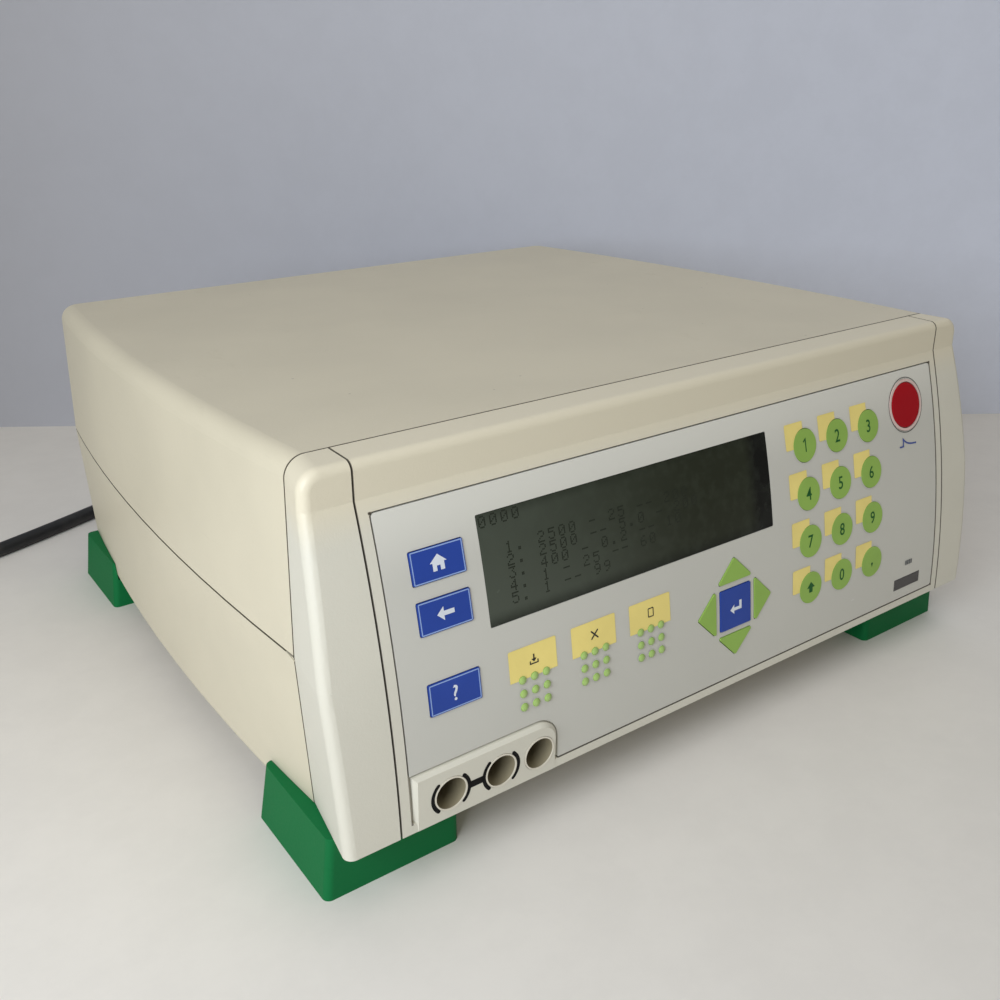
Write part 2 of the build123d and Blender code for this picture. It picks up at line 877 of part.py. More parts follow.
with BuildPart() as keypad_overlay:
    with BuildSketch(front_view):
        overlay_outline(0)
        display_outline(pane_clearance, mode=Mode.SUBTRACT)
        status_outline(pane_clearance, mode=Mode.SUBTRACT)
    extrude(amount=front_view_depth)
    add(front_slab(recess_depth - overlay_thickness, recess_depth), mode=Mode.INTERSECT)
    add(key_holes.part, mode=Mode.SUBTRACT)
    with BuildSketch(pulse_plane.offset(-wall)):
        Circle(pulse_ring_radius + pane_clearance)
    extrude(amount=2 * wall, mode=Mode.SUBTRACT)
    with BuildSketch(block_plane.offset(-wall)):
        block_outline(overlay_gap, overlay_gap + wall)
    extrude(amount=2 * wall, mode=Mode.SUBTRACT)
keypad_overlay.part.label = "keypad_overlay"
export_step(keypad_overlay.part, "parts/keypad_overlay.step")

pane_slab = front_slab(recess_depth - overlay_thickness, recess_depth)
with BuildPart() as display_window:
    with BuildSketch(front_view):
        display_outline(0)
    extrude(amount=front_view_depth)
    add(pane_slab, mode=Mode.INTERSECT)
display_window.part.label = "display_window"
export_step(display_window.part, "parts/display_window.step")

with BuildPart() as status_window:
    with BuildSketch(front_view):
        status_outline(0)
    extrude(amount=front_view_depth)
    add(pane_slab, mode=Mode.INTERSECT)
status_window.part.label = "status_window"
export_step(status_window.part, "parts/status_window.step")

with BuildPart() as pulse_ring:
    with BuildSketch(pulse_plane.offset(-wall)):
        Circle(pulse_ring_radius)
        Circle(pulse_ring_radius - pulse_ring_width, mode=Mode.SUBTRACT)
    extrude(amount=wall + pulse_ring_proud)
pulse_ring.part.label = "pulse_ring"
export_step(pulse_ring.part, "parts/pulse_ring.step")

display_corner_low = on_board(display_left_x, display_bottom_z)
display_corner_high = on_board(display_right_x, display_top_z)
display_middle = tuple((low + high) / 2 for low, high in zip(display_corner_low, display_corner_high))
display_size = tuple(high - low for low, high in zip(display_corner_low, display_corner_high))
with BuildPart() as display_module:
    with BuildSketch(board_plane.offset(inner_gap / 3)):
        with Locations(display_middle):
            Rectangle(*(size + 2 * module_margin for size in display_size))
    extrude(amount=module_thickness)
    with BuildSketch(board_plane.offset(inner_gap / 3 + module_thickness)):
        with Locations(display_middle):
            Rectangle(*display_size)
    extrude(amount=-module_glass_depth, mode=Mode.SUBTRACT)
display_module.part.label = "display_module"
export_step(display_module.part, "parts/display_module.step")

switch_depth = flange_depth + flange_thickness + key_travel + switch_gap
with BuildPart() as keypad_board:
    with BuildSketch(board_plane.offset(-board_thickness)):
        Rectangle(board_width, 2 * board_half_height)
        with Locations(on_board(board_notch_x, board_notch_z)):
            Rectangle(board_width, board_half_height, align=(Align.MAX, Align.MAX), mode=Mode.SUBTRACT)
    extrude(amount=board_thickness)
    for x, z, outline, proud in keys.values():
        with BuildSketch(front_plane(x, z, board_depth + inner_gap)):
            Rectangle(switch_size, switch_size)
        extrude(amount=board_depth + inner_gap - switch_depth)
keypad_board.part.label = "keypad_board"
export_step(keypad_board.part, "parts/keypad_board.step")

sleeve_reach = 2 * block_proud   # cut back to the block's face after that
with BuildPart() as output_sockets:
    for x in socket_x:
        with BuildSketch(front_plane(x, socket_z, sleeve_length)):
            Circle(sleeve_radius)
        extrude(amount=sleeve_length + sleeve_reach)
        with BuildSketch(front_plane(x, socket_z, wall + inner_gap + sleeve_flange_thickness)):
            Circle(sleeve_flange_radius)
        extrude(amount=sleeve_flange_thickness)
        with BuildSketch(front_plane(x, socket_z, socket_bore_depth)):
            Circle(socket_bore_radius)
        extrude(amount=socket_bore_depth + sleeve_reach, mode=Mode.SUBTRACT)
        with BuildSketch(front_plane(x, socket_z, socket_bore_depth)):
            Circle(contact_radius)
        extrude(amount=-sleeve_length, mode=Mode.SUBTRACT)
    split(bisect_by=block_face.offset(sleeve_proud), keep=Keep.BOTTOM)
output_sockets.part.label = "output_sockets"
export_step(output_sockets.part, "parts/output_sockets.step")

with BuildPart() as socket_contacts:
    for x in socket_x:
        with BuildSketch(front_plane(x, socket_z, socket_bore_depth)):
            Circle(contact_radius)
            Circle(contact_bore_radius, mode=Mode.SUBTRACT)
        extrude(amount=socket_bore_depth - sleeve_length - 4)
socket_contacts.part.label = "socket_contacts"
export_step(socket_contacts.part, "parts/socket_contacts.step")

# ---------------------------------------------------------------- feet

foot_cut_form = body_form(-foot_case_gap, seam_y - foot_case_gap, rounded=False)
counterbore_depth = 9.0
counterbore_radius = screw_head_radius + 0.5
for foot_name, (side, outer_x, inner_x, front_y, rear_y) in feet.items():
    width, depth = outer_x - inner_x, rear_y - front_y
    lean = foot_draft * foot_height
    rear_lean = foot_rear_draft * foot_height
    screw_place = foot_screw_place(side, outer_x, inner_x, front_y, rear_y)
    with BuildPart() as foot:
        for level, shift, rear_shift in ((0, 0, 0), (foot_height, lean, rear_lean)):
            with BuildSketch(Plane.XY.offset(level)):
                with Locations((side * (inner_x + (width - shift) / 2), (front_y + rear_y - rear_shift) / 2)):
                    RectangleRounded(width - shift, depth - rear_shift, foot_corner_radius)
        loft(ruled=True)
        add(foot_cut_form, mode=Mode.SUBTRACT)
        with BuildSketch(Plane.XY):
            with Locations(screw_place):
                Circle(screw_clearance_radius)
        extrude(amount=foot_height, mode=Mode.SUBTRACT)
        with BuildSketch(Plane.XY):
            with Locations(screw_place):
                Circle(counterbore_radius)
        extrude(amount=counterbore_depth, mode=Mode.SUBTRACT)
    foot.part.label = foot_name
    export_step(foot.part, f"parts/{foot_name}.step")

# ---------------------------------------------------------------- rear panel and its pieces

fan_back_y = panel_back_y - inner_gap / 3
fan_front_y = fan_back_y - fan_depth
fan_hole_places = [
    (fan_x + column * fan_hole_pitch / 2, fan_z + row * fan_hole_pitch / 2)
    for column in (-1, 1)
    for row in (-1, 1)
]
inlet_module_z = inlet_z + inlet_module_shift
connector_hole_width = 12.0
connector_hole_height = 20.0
connector_flange_width = 14.0
connector_flange_height = 32.0
connector_shell_width = 8.5
connector_shell_height = 17.0
connector_shell_depth = 6.0
connector_flange_thickness = 1.0
connector_pin_pitch = 2.8
connector_pin_radius = 0.6


def rear_plane(y):
    """Plane that faces backwards; drawings on it have +Z up and +X kept."""
    return Plane(origin=(0, y, 0), x_dir=(-1, 0, 0), z_dir=(0, 1, 0))


def rear_place(x, z):
    """Place on a rear plane."""
    return -x, z


with BuildPart() as rear_panel:
    with BuildSketch(rear_plane(panel_back_y)):
        with Locations((0, panel_middle_z)):
            RectangleRounded(panel_width, panel_height, panel_corner_radius)
        with Locations(*[rear_place(x, z) for x, z in panel_screws + fan_hole_places]):
            Circle(screw_clearance_radius, mode=Mode.SUBTRACT)
        with Locations(rear_place(fan_x, fan_z)):
            Circle(fan_bore_radius, mode=Mode.SUBTRACT)
        with Locations(rear_place(inlet_x, inlet_module_z)):
            Rectangle(
                inlet_body_width + panel_gap, inlet_body_height + panel_gap, mode=Mode.SUBTRACT
            )
        with Locations(*[rear_place(x, module_socket_z) for x in module_socket_x]):
            Rectangle(
                connector_hole_width + panel_gap, connector_hole_height + panel_gap, mode=Mode.SUBTRACT
            )
    extrude(amount=panel_thickness)
rear_panel.part.label = "rear_panel"
export_step(rear_panel.part, "parts/rear_panel.step")

with BuildPart() as module_connectors:
    for x in module_socket_x:
        with BuildSketch(rear_plane(panel_face_y)):
            with Locations(rear_place(x, module_socket_z)):
                RectangleRounded(connector_flange_width, connector_flange_height, 2)
        extrude(amount=connector_flange_thickness)
        with BuildSketch(rear_plane(panel_face_y)):
            with Locations(rear_place(x, module_socket_z)):
                RectangleRounded(connector_shell_width, connector_shell_height, 2)
        extrude(amount=connector_shell_depth)
        with BuildSketch(rear_plane(panel_face_y)):
            with Locations(rear_place(x, module_socket_z)):
                Rectangle(connector_hole_width, connector_hole_height)
        extrude(amount=-10)
        with BuildSketch(rear_plane(panel_face_y + connector_shell_depth)):
            with Locations(rear_place(x, module_socket_z)):
                with GridLocations(connector_pin_pitch, connector_pin_pitch, 2, 5):
                    Circle(connector_pin_radius)
        extrude(amount=-connector_shell_depth, mode=Mode.SUBTRACT)
module_connectors.part.label = "module_connectors"
export_step(module_connectors.part, "parts/module_connectors.step")

# Cooling fan: square frame, motor base on four struts, rotor on its shaft
fan_wall = 3.0
fan_base_thickness = 3.0
fan_strut_width = 3.0
with BuildPart() as fan_frame:
    with BuildSketch(rear_plane(fan_front_y)):
        with Locations(rear_place(fan_x, fan_z)):
            RectangleRounded(fan_size, fan_size, fan_wall)
            Circle(fan_bore_radius, mode=Mode.SUBTRACT)
        with Locations(*[rear_place(x, z) for x, z in fan_hole_places]):
            Circle(screw_radius, mode=Mode.SUBTRACT)
    extrude(amount=fan_depth)
    with BuildSketch(rear_plane(fan_front_y)):
        with Locations(rear_place(fan_x, fan_z)):
            Circle(fan_hub_radius)
            with PolarLocations(0, 2):
                Rectangle(2 * fan_bore_radius + 1, fan_strut_width)
                Rectangle(fan_strut_width, 2 * fan_bore_radius + 1)
    extrude(amount=fan_base_thickness)
    with BuildSketch(rear_plane(fan_front_y)):
        with Locations(rear_place(fan_x, fan_z)):
            Circle(fan_shaft_radius + fan_shaft_clearance)
    extrude(amount=fan_base_thickness, mode=Mode.SUBTRACT)
fan_frame.part.label = "fan_frame"
export_step(fan_frame.part, "parts/fan_frame.step")

hub_front_y = fan_front_y + fan_base_thickness + inner_gap
hub_length = fan_depth - fan_base_thickness - 2 * inner_gap - fan_blade_gap
blade_radius = fan_bore_radius - fan_blade_gap
blade_pitch = radians(35)
blade_chord_share = 1.0
blade_thickness = 1.4
with BuildPart() as fan_rotor:
    with BuildSketch(rear_plane(hub_front_y)):
        with Locations(rear_place(fan_x, fan_z)):
            Circle(fan_hub_radius)
    extrude(amount=hub_length)
    hub_edges = fan_rotor.faces().sort_by(Axis.Y)[-1].edges()
    fillet(hub_edges, fan_hub_edge_radius)
    with BuildSketch(rear_plane(fan_front_y + inner_gap)):
        with Locations(rear_place(fan_x, fan_z)):
            Circle(fan_shaft_radius)
    extrude(amount=fan_base_thickness + inner_gap)
    middle_y = hub_front_y + hub_length / 2
    for index in range(fan_blades):
        turn = 360 / fan_blades * index
        direction = Vector(cos(radians(turn)), 0, sin(radians(turn)))
        sideways = Vector(-sin(radians(turn)), 0, cos(radians(turn)))
        chord = Vector(0, 1, 0) * cos(blade_pitch) + sideways * sin(blade_pitch)
        root = Vector(fan_x, middle_y, fan_z) + direction * (fan_hub_radius - blade_root)
        with BuildSketch(Plane(origin=root, x_dir=chord, z_dir=direction)):
            Rectangle(hub_length * blade_chord_share, blade_thickness)
        extrude(amount=blade_radius - fan_hub_radius + blade_root)
fan_rotor.part.label = "fan_rotor"
export_step(fan_rotor.part, "parts/fan_rotor.step")

guard_rings = (29.0, 22.0, 15.0, 8.0)     # outermost first
guard_ear_radius = 4.0
with BuildPart() as finger_guard:
    with BuildSketch(rear_plane(rear_face_y - guard_wire)):
        with Locations(rear_place(fan_x, fan_z)):
            for radius in guard_rings:
                Circle(radius)
                Circle(radius - guard_wire, mode=Mode.SUBTRACT)
            with PolarLocations(0, 2, start_angle=45, angular_range=180):
                Rectangle(fan_hole_pitch * sqrt(2), guard_wire)
        with Locations(*[rear_place(x, z) for x, z in fan_hole_places]):
            Circle(guard_ear_radius)
    extrude(amount=guard_wire)
    with BuildSketch(rear_plane(panel_face_y)):
        with Locations(*[rear_place(x, z) for x, z in fan_hole_places]):
            Circle(guard_ear_radius)
    extrude(amount=rear_face_y - panel_face_y)
    with BuildSketch(rear_plane(panel_face_y)):
        with Locations(*[rear_place(x, z) for x, z in fan_hole_places]):
            Circle(screw_clearance_radius)
    extrude(amount=rear_face_y - panel_face_y, mode=Mode.SUBTRACT)
    with BuildSketch(rear_plane(rear_face_y)):
        with Locations(*[rear_place(x, z) for x, z in fan_hole_places]):
            Circle(screw_head_radius)
    extrude(amount=-screw_head_height, mode=Mode.SUBTRACT)
finger_guard.part.label = "finger_guard"
export_step(finger_guard.part, "parts/finger_guard.step")

# Mains inlet with its fuse drawer and switch
inlet_face_y = panel_face_y + inlet_flange_thickness
drawer_z = inlet_z + drawer_rise
rocker_z = inlet_z + rocker_rise
rocker_pivot_y = inlet_face_y - 4.0
rocker_end_radius = 7.8
pin_places = ((-pin_spread, -pin_rise), (0.0, pin_rise), (pin_spread, -pin_rise))
drawer_slot = drawer_depth + 1.0
with BuildPart() as power_inlet:
    with BuildSketch(rear_plane(panel_face_y)):
        with Locations(rear_place(inlet_x, inlet_module_z)):
            RectangleRounded(inlet_flange_width, inlet_flange_height, 3)
    extrude(amount=inlet_flange_thickness)
    flange_edges = power_inlet.faces().sort_by(Axis.Y)[-1].edges()
    fillet(flange_edges, inlet_edge_radius)
    with BuildSketch(rear_plane(panel_face_y)):
        with Locations(rear_place(inlet_x, inlet_module_z)):
            Rectangle(inlet_body_width, inlet_body_height)
    extrude(amount=-inlet_body_depth)
    with BuildSketch(rear_plane(inlet_face_y)):
        with Locations(rear_place(inlet_x, inlet_z)):
            RectangleRounded(inlet_cavity_width, inlet_cavity_height, 2)
    extrude(amount=-inlet_cavity_depth, mode=Mode.SUBTRACT)
    with BuildSketch(rear_plane(inlet_face_y)):
        with Locations(rear_place(inlet_x, drawer_z)):
            Rectangle(drawer_width + 2 * drawer_clearance, drawer_height + 2 * drawer_clearance)
    extrude(amount=-drawer_slot, mode=Mode.SUBTRACT)
    with BuildSketch(rear_plane(inlet_face_y)):
        with Locations(rear_place(inlet_x, rocker_z)):
            Rectangle(
                rocker_width + 2 * rocker_clearance, 2 * (rocker_end_radius + rocker_clearance)
            )
    extrude(amount=-rocker_depth - rocker_clearance, mode=Mode.SUBTRACT)
    with BuildSketch(Plane.YZ.offset(inlet_x - rocker_width / 2 - 2)):
        with Locations((rocker_pivot_y, rocker_z)):
            Circle(rocker_pin_radius + rocker_pin_clearance)
    extrude(amount=rocker_width + 4, mode=Mode.SUBTRACT)
    with BuildSketch(rear_plane(inlet_face_y - inlet_cavity_depth)):
        with Locations(*[rear_place(inlet_x + x, inlet_z + z) for x, z in pin_places]):
            Rectangle(pin_thickness, pin_width)
    extrude(amount=pin_length)
power_inlet.part.label = "power_inlet"
export_step(power_inlet.part, "parts/power_inlet.step")

fuse_radius = 2.5
fuse_length = 18.0
drawer_face = 1.0
with BuildPart() as fuse_drawer:
    with BuildSketch(rear_plane(inlet_face_y + drawer_face)):
        with Locations(rear_place(inlet_x, drawer_z)):
            Rectangle(drawer_width, drawer_height)
    extrude(amount=-drawer_depth)
    with BuildSketch(Plane.XY.offset(drawer_z + drawer_height / 2)):
        with Locations((inlet_x, inlet_face_y - drawer_depth / 2)):
            Rectangle(fuse_length + 1, 2 * fuse_radius + 1)
    extrude(amount=-drawer_height + 1, mode=Mode.SUBTRACT)
    with BuildSketch(Plane.YZ.offset(inlet_x - fuse_length / 2)):
        with Locations((inlet_face_y - drawer_depth / 2, drawer_z - drawer_height / 2 + 1 + fuse_radius)):
            Circle(fuse_radius)
    extrude(amount=fuse_length)
fuse_drawer.part.label = "fuse_drawer"
export_step(fuse_drawer.part, "parts/fuse_drawer.step")

rocker_face_half = 5.8
rocker_face_reach = sqrt(rocker_end_radius**2 - rocker_face_half**2)
rocker_dish = 0.6


def rocker_plane(x):
    """Plane across the rocker's pivot, turned to the position at rest."""
    tilt = radians(rocker_tilt)
    return Plane(
        origin=(x, rocker_pivot_y, rocker_z), x_dir=(0, cos(tilt), sin(tilt)), z_dir=(1, 0, 0)
    )


with BuildPart() as rocker_switch:
    with BuildSketch(rocker_plane(inlet_x - rocker_width / 2)):
        with BuildLine():
            top = (rocker_face_reach, rocker_face_half)
            bottom = (rocker_face_reach, -rocker_face_half)
            back_angle, end_angle = radians(20), radians(-15)
            back_x, back_z = -rocker_end_radius * sin(back_angle), rocker_end_radius * cos(back_angle)
            end_x, end_z = -rocker_end_radius * sin(end_angle), rocker_end_radius * cos(end_angle)
            Polyline(bottom, (rocker_face_reach - rocker_dish, 0), top)
            ThreePointArc(top, (end_x, end_z), (back_x, back_z))
            Line((back_x, back_z), (back_x, -back_z))
            ThreePointArc((back_x, -back_z), (end_x, -end_z), bottom)
        make_face()
    extrude(amount=rocker_width)
    with BuildSketch(rocker_plane(inlet_x - rocker_width / 2 - rocker_pin_reach)):
        Circle(rocker_pin_radius)
    extrude(amount=rocker_width + 2 * rocker_pin_reach)
rocker_switch.part.label = "rocker_switch"
export_step(rocker_switch.part, "parts/rocker_switch.step")

# ---------------------------------------------------------------- chassis and inner pieces

chassis_top_z = chassis_z + chassis_thickness
board_z = chassis_top_z + standoff_height
main_board_width = main_board_right_x - main_board_left_x
main_board_depth = main_board_rear_y - main_board_front_y
main_board_middle = (
    (main_board_left_x + main_board_right_x) / 2, (main_board_front_y + main_board_rear_y) / 2
)
standoff_inset = 6.0
main_standoffs = [
    (main_board_middle[0] + column * (main_board_width / 2 - standoff_inset),
     main_board_middle[1] + row * (main_board_depth / 2 - standoff_inset))
    for column in (-1, 1)
    for row in (-1, 1)
]
bank_width = capacitor_columns * capacitor_pitch + 4
bank_depth = capacitor_rows * capacitor_pitch + 4
bank_standoffs = [
    (capacitor_x + column * (bank_width / 2 - standoff_inset / 2), capacitor_y + row * 0.25 * bank_depth)
    for column in (-1, 1)
    for row in (-1, 1)
]
with BuildPart() as chassis_plate:
    with BuildSketch(Plane.XY.offset(chassis_z)):
        with Locations((0, (chassis_front_y + chassis_rear_y) / 2)):
            RectangleRounded(2 * chassis_half_width, chassis_rear_y - chassis_front_y, 4)
        with Locations(*chassis_screws):
            Circle(screw_clearance_radius, mode=Mode.SUBTRACT)
        with GridLocations(vent_pitch, vent_rows_pitch, vent_slots, 2):
            SlotOverall(vent_length, vent_width, rotation=90, mode=Mode.SUBTRACT)
    extrude(amount=chassis_thickness)
    with BuildSketch(Plane.XY.offset(chassis_top_z)):
        with Locations(*main_standoffs, *bank_standoffs):
            Circle(standoff_radius)
    extrude(amount=standoff_height)
chassis_plate.part.label = "chassis_plate"
export_step(chassis_plate.part, "parts/chassis_plate.step")

board_chips = (
    (-95.0, -55.0, 22.0, 22.0, 3.0), (-60.0, -55.0, 18.0, 18.0, 2.5), (-30.0, -50.0, 16.0, 26.0, 12.0),
    (-98.0, -15.0, 16.0, 30.0, 10.0), (-65.0, -15.0, 24.0, 12.0, 4.0), (-30.0, 0.0, 20.0, 30.0, 16.0),
    (-98.0, 22.0, 20.0, 14.0, 8.0), (-65.0, 20.0, 28.0, 18.0, 14.0),
)
with BuildPart() as main_board:
    with BuildSketch(Plane.XY.offset(board_z)):
        with Locations(main_board_middle):
            Rectangle(main_board_width, main_board_depth)
    extrude(amount=board_thickness)
    for x, y, width, depth, height in board_chips:
        with BuildSketch(Plane.XY.offset(board_z + board_thickness)):
            with Locations((x, y)):
                Rectangle(width, depth)
        extrude(amount=height)
main_board.part.label = "main_board"
export_step(main_board.part, "parts/main_board.step")

with BuildPart() as capacitor_bank:
    with BuildSketch(Plane.XY.offset(board_z)):
        with Locations((capacitor_x, capacitor_y)):
            Rectangle(bank_width, bank_depth)
    extrude(amount=board_thickness)
    with BuildSketch(Plane.XY.offset(board_z + board_thickness)):
        with Locations((capacitor_x, capacitor_y)):
            with GridLocations(capacitor_pitch, capacitor_pitch, capacitor_columns, capacitor_rows):
                Circle(capacitor_radius)
    extrude(amount=capacitor_height)
    fillet(capacitor_bank.faces().sort_by(Axis.Z)[-1].edges(), capacitor_edge_radius)
capacitor_bank.part.label = "capacitor_bank"
export_step(capacitor_bank.part, "parts/capacitor_bank.step")

supply_vents = 8
with BuildPart() as power_supply:
    with BuildSketch(Plane.XY.offset(chassis_top_z)):
        with Locations((supply_x, supply_y)):
            Rectangle(supply_width, supply_length)
    extrude(amount=supply_height)
    chamfer(power_supply.edges().filter_by(Axis.Z), 2)
    with BuildSketch(Plane.XY.offset(chassis_top_z + supply_height)):
        with Locations((supply_x, supply_y)):
            with GridLocations(10, 1, supply_vents, 1):
                SlotOverall(supply_length * 0.6, 4, rotation=90)
    extrude(amount=-2, mode=Mode.SUBTRACT)
power_supply.part.label = "power_supply"
export_step(power_supply.part, "parts/power_supply.step")

fin_pitch = (sink_width - fin_thickness) / (sink_fins - 1)
with BuildPart() as heat_sink:
    with BuildSketch(Plane.XY.offset(chassis_top_z)):
        with Locations((sink_x, sink_y)):
            Rectangle(sink_width, sink_length)
    extrude(amount=sink_base)
    with BuildSketch(Plane.XY.offset(chassis_top_z + sink_base)):
        with Locations((sink_x, sink_y)):
            with GridLocations(fin_pitch, 1, sink_fins, 1):
                Rectangle(fin_thickness, sink_length)
    extrude(amount=sink_height - sink_base)
heat_sink.part.label = "heat_sink"
export_step(heat_sink.part, "parts/heat_sink.step")

switch_block = (34.0, 20.0, 16.0)
with BuildPart() as discharge_switch:
    with BuildSketch(Plane.XY.offset(chassis_top_z)):
        with Locations((sink_x, sink_y - sink_length / 2 - switch_block[1] / 2 - 0.2)):
            Rectangle(*switch_block[:2])
    extrude(amount=switch_block[2])
    with BuildSketch(Plane.XY.offset(chassis_top_z + switch_block[2])):
        with Locations((sink_x, sink_y - sink_length / 2 - switch_block[1] / 2)):
            with GridLocations(10, 1, 3, 1):
                Circle(2.5)
    extrude(amount=4)
discharge_switch.part.label = "discharge_switch"
export_step(discharge_switch.part, "parts/discharge_switch.step")

# ---------------------------------------------------------------- screws


def screw(head_plane, length):
    """Pan-head screw: the head stands on the plane, the shank goes down from it."""
    with BuildSketch(head_plane) as head:
        Circle(screw_head_radius)
    with BuildSketch(head_plane) as shank:
        Circle(screw_radius)
    extrude(head.sketch, amount=screw_head_height)
    extrude(shank.sketch, amount=-length)


with BuildPart() as screws:
    for x, z in panel_screws:
        screw(Plane(origin=(x, panel_face_y, z), x_dir=(1, 0, 0), z_dir=(0, 1, 0)), screw_length)
    for x, z in fan_hole_places:
        head_y = rear_face_y - screw_head_height
        screw(Plane(origin=(x, head_y, z), x_dir=(1, 0, 0), z_dir=(0, 1, 0)), 2 * screw_length)
    for x, y in chassis_screws:
        screw(Plane.XY.offset(chassis_top_z).shift_origin((x, y, chassis_top_z)), screw_length - 1)
    for x, y in foot_screws:
        screw(
            Plane(origin=(x, y, counterbore_depth), x_dir=(1, 0, 0), z_dir=(0, 0, -1)),
            case_bottom_z - counterbore_depth + screw_length - 1,
        )
screws.part.label = "screws"
export_step(screws.part, "parts/screws.step")

# ---------------------------------------------------------------- mains lead

connector_back_y = inlet_face_y + connector_gap
connector_end_y = connector_back_y + connector_length
cord_start_y = connector_end_y + relief_length
insert_clearance = 0.3
insert_length = inlet_cavity_depth - 1.0
pin_slot_clearance = 0.3

with BuildPart() as cord_connector:
    with BuildSketch(rear_plane(connector_back_y)):
        with Locations(rear_place(inlet_x, inlet_z)):
            RectangleRounded(connector_width, connector_height, 3)
    extrude(amount=connector_length)
    grip_edges = cord_connector.faces().sort_by(Axis.Y)[-1].edges()
    fillet(grip_edges, 2)
    with BuildSketch(rear_plane(connector_back_y)):
        with Locations(rear_place(inlet_x, inlet_z)):
            RectangleRounded(
                inlet_cavity_width - 2 * insert_clearance, inlet_cavity_height - 2 * insert_clearance, 2
            )
    extrude(amount=-insert_length)
    with BuildSketch(rear_plane(connector_back_y - insert_length)):
        with Locations(*[rear_place(inlet_x + x, inlet_z + z) for x, z in pin_places]):
            Rectangle(pin_thickness + 2 * pin_slot_clearance, pin_width + 2 * pin_slot_clearance)
    extrude(amount=pin_length + 2, mode=Mode.SUBTRACT)
    with BuildSketch(rear_plane(connector_end_y)):
        with Locations(rear_place(inlet_x, inlet_z)):
            Circle(relief_base_radius)
    with BuildSketch(rear_plane(cord_start_y)):
        with Locations(rear_place(inlet_x, inlet_z)):
            Circle(relief_tip_radius)
    loft(ruled=True)
cord_connector.part.label = "cord_connector"
export_step(cord_connector.part, "parts/cord_connector.step")

# Route of the free stretch, from the tip of the strain relief to the coil
bench_z = cord_radius
cord_route = [
    (inlet_x, cord_start_y, inlet_z),
    (inlet_x, cord_start_y + 23.0, inlet_z),
    (77.0, 250.0, 39.0),
    (60.0, 268.0, 23.0),
    (36.0, 275.5, 10.0),
    (6.0, 269.0, bench_z),
    (-44.0, 247.0, bench_z),
    (-100.0, 216.9, bench_z),
    (-186.0, 179.6, bench_z),
    (-233.0, 167.0, bench_z),
]


def corner_radii(points):
    """Bend radii of a route: each arc takes 0.45 of its shorter run."""
    places = [Vector(*point) for point in points]
    radii = []
    for before, corner, after in zip(places, places[1:], places[2:]):
        turn = (corner - before).get_angle(after - corner)
        shorter = min((corner - before).length, (after - corner).length)
        radii.append(0.45 * shorter / tan(radians(turn) / 2))
    return radii


cord_radii = corner_radii(cord_route)
print("cord bend radii", [round(radius, 1) for radius in cord_radii])

with BuildPart() as power_cord:
    with BuildLine() as cord_path:
        FilletPolyline(*cord_route, radius=cord_radii)
    cord_start = Plane(origin=cord_path.line @ 0, z_dir=cord_path.line % 0)
    with BuildSketch(cord_start):
        Circle(cord_radius)
    sweep()
power_cord.part.label = "power_cord"
export_step(power_cord.part, "parts/power_cord.step")
cord_length = cord_path.wire().length
cord_volume_ratio = power_cord.part.volume / (pi * cord_radius**2 * cord_length)
print("cord stretch", round(cord_length, 1), "volume ratio", round(cord_volume_ratio, 5))

# Coil: half turns that spiral in on the bench, climb once, and spiral out on top
coil_gap = 0.5
coil_inner_radius = 30.0
coil_half_turns = 5             # in the lower layer
coil_pitch = 2 * cord_radius + coil_gap
coil_heading = (Vector(*cord_route[-1]) - Vector(*cord_route[-2])).normalized()
up = Vector(0, 0, 1)
coil_end_length = 2 * cord_radius
coil_radii = [coil_inner_radius + coil_pitch / 2 * step for step in range(coil_half_turns, -1, -1)]
coil_radii += [coil_inner_radius + coil_pitch / 2 * step for step in range(1, coil_half_turns)]
coil_exit_radius = coil_inner_radius + coil_pitch / 2 * coil_half_turns

with BuildPart() as cord_coil:
    with BuildLine() as coil_path:
        place = Vector(*cord_route[-1])
        heading = coil_heading
        Line(place, place + heading * coil_end_length)
        place += heading * coil_end_length
        for index, radius in enumerate(coil_radii):
            climb = up * coil_pitch if index == coil_half_turns else Vector(0, 0, 0)
            across = heading.cross(up) * (2 * radius) + climb
            middle = place + across * 0.5 + heading * (across.length / 2)
            ThreePointArc(place, middle, place + across)
            place += across
            heading = heading * -1
        across = heading.cross(up)
        centre = place + across * coil_exit_radius
        middle = centre + (heading - across) * (coil_exit_radius / sqrt(2))
        end = centre + heading * coil_exit_radius
        ThreePointArc(place, middle, end)
        coil_exit = end + across * (2 * coil_end_length)
        Line(end, coil_exit)
    coil_start = Plane(origin=coil_path.line @ 0, z_dir=coil_path.line % 0)
    with BuildSketch(coil_start):
        Circle(cord_radius)
    sweep()
cord_coil.part.label = "cord_coil"
export_step(cord_coil.part, "parts/cord_coil.step")
coil_length = coil_path.wire().length
coil_volume_ratio = cord_coil.part.volume / (pi * cord_radius**2 * coil_length)
print("coil length", round(coil_length, 1), "volume ratio", round(coil_volume_ratio, 5))


def least_gap(path, samples, apart):
    """Least gap of a tube to itself, on points that are further apart along it."""
    points = [path @ (index / samples) for index in range(samples + 1)]
    skip = int(apart / path.length * samples)
    distances = [
        (points[first] - points[second]).length
        for first in range(0, samples, 2)
        for second in range(first + skip, samples + 1)
    ]
    return min(distances) - 2 * cord_radius


print("least gap of the coil to itself", round(least_gap(coil_path.wire(), 600, 60.0), 2))

# Plug on the far end, lying beside the coil
plug_direction = across
blade_length = 17.0
blade_width = 6.35
blade_thickness_plug = 1.5
blade_spread = 6.35
earth_pin_radius = 2.4


def plug_plane(distance):
    """Plane across the plug at a distance from the end of the coil."""
    return Plane(origin=coil_exit + plug_direction * distance, x_dir=plug_side, z_dir=plug_direction)


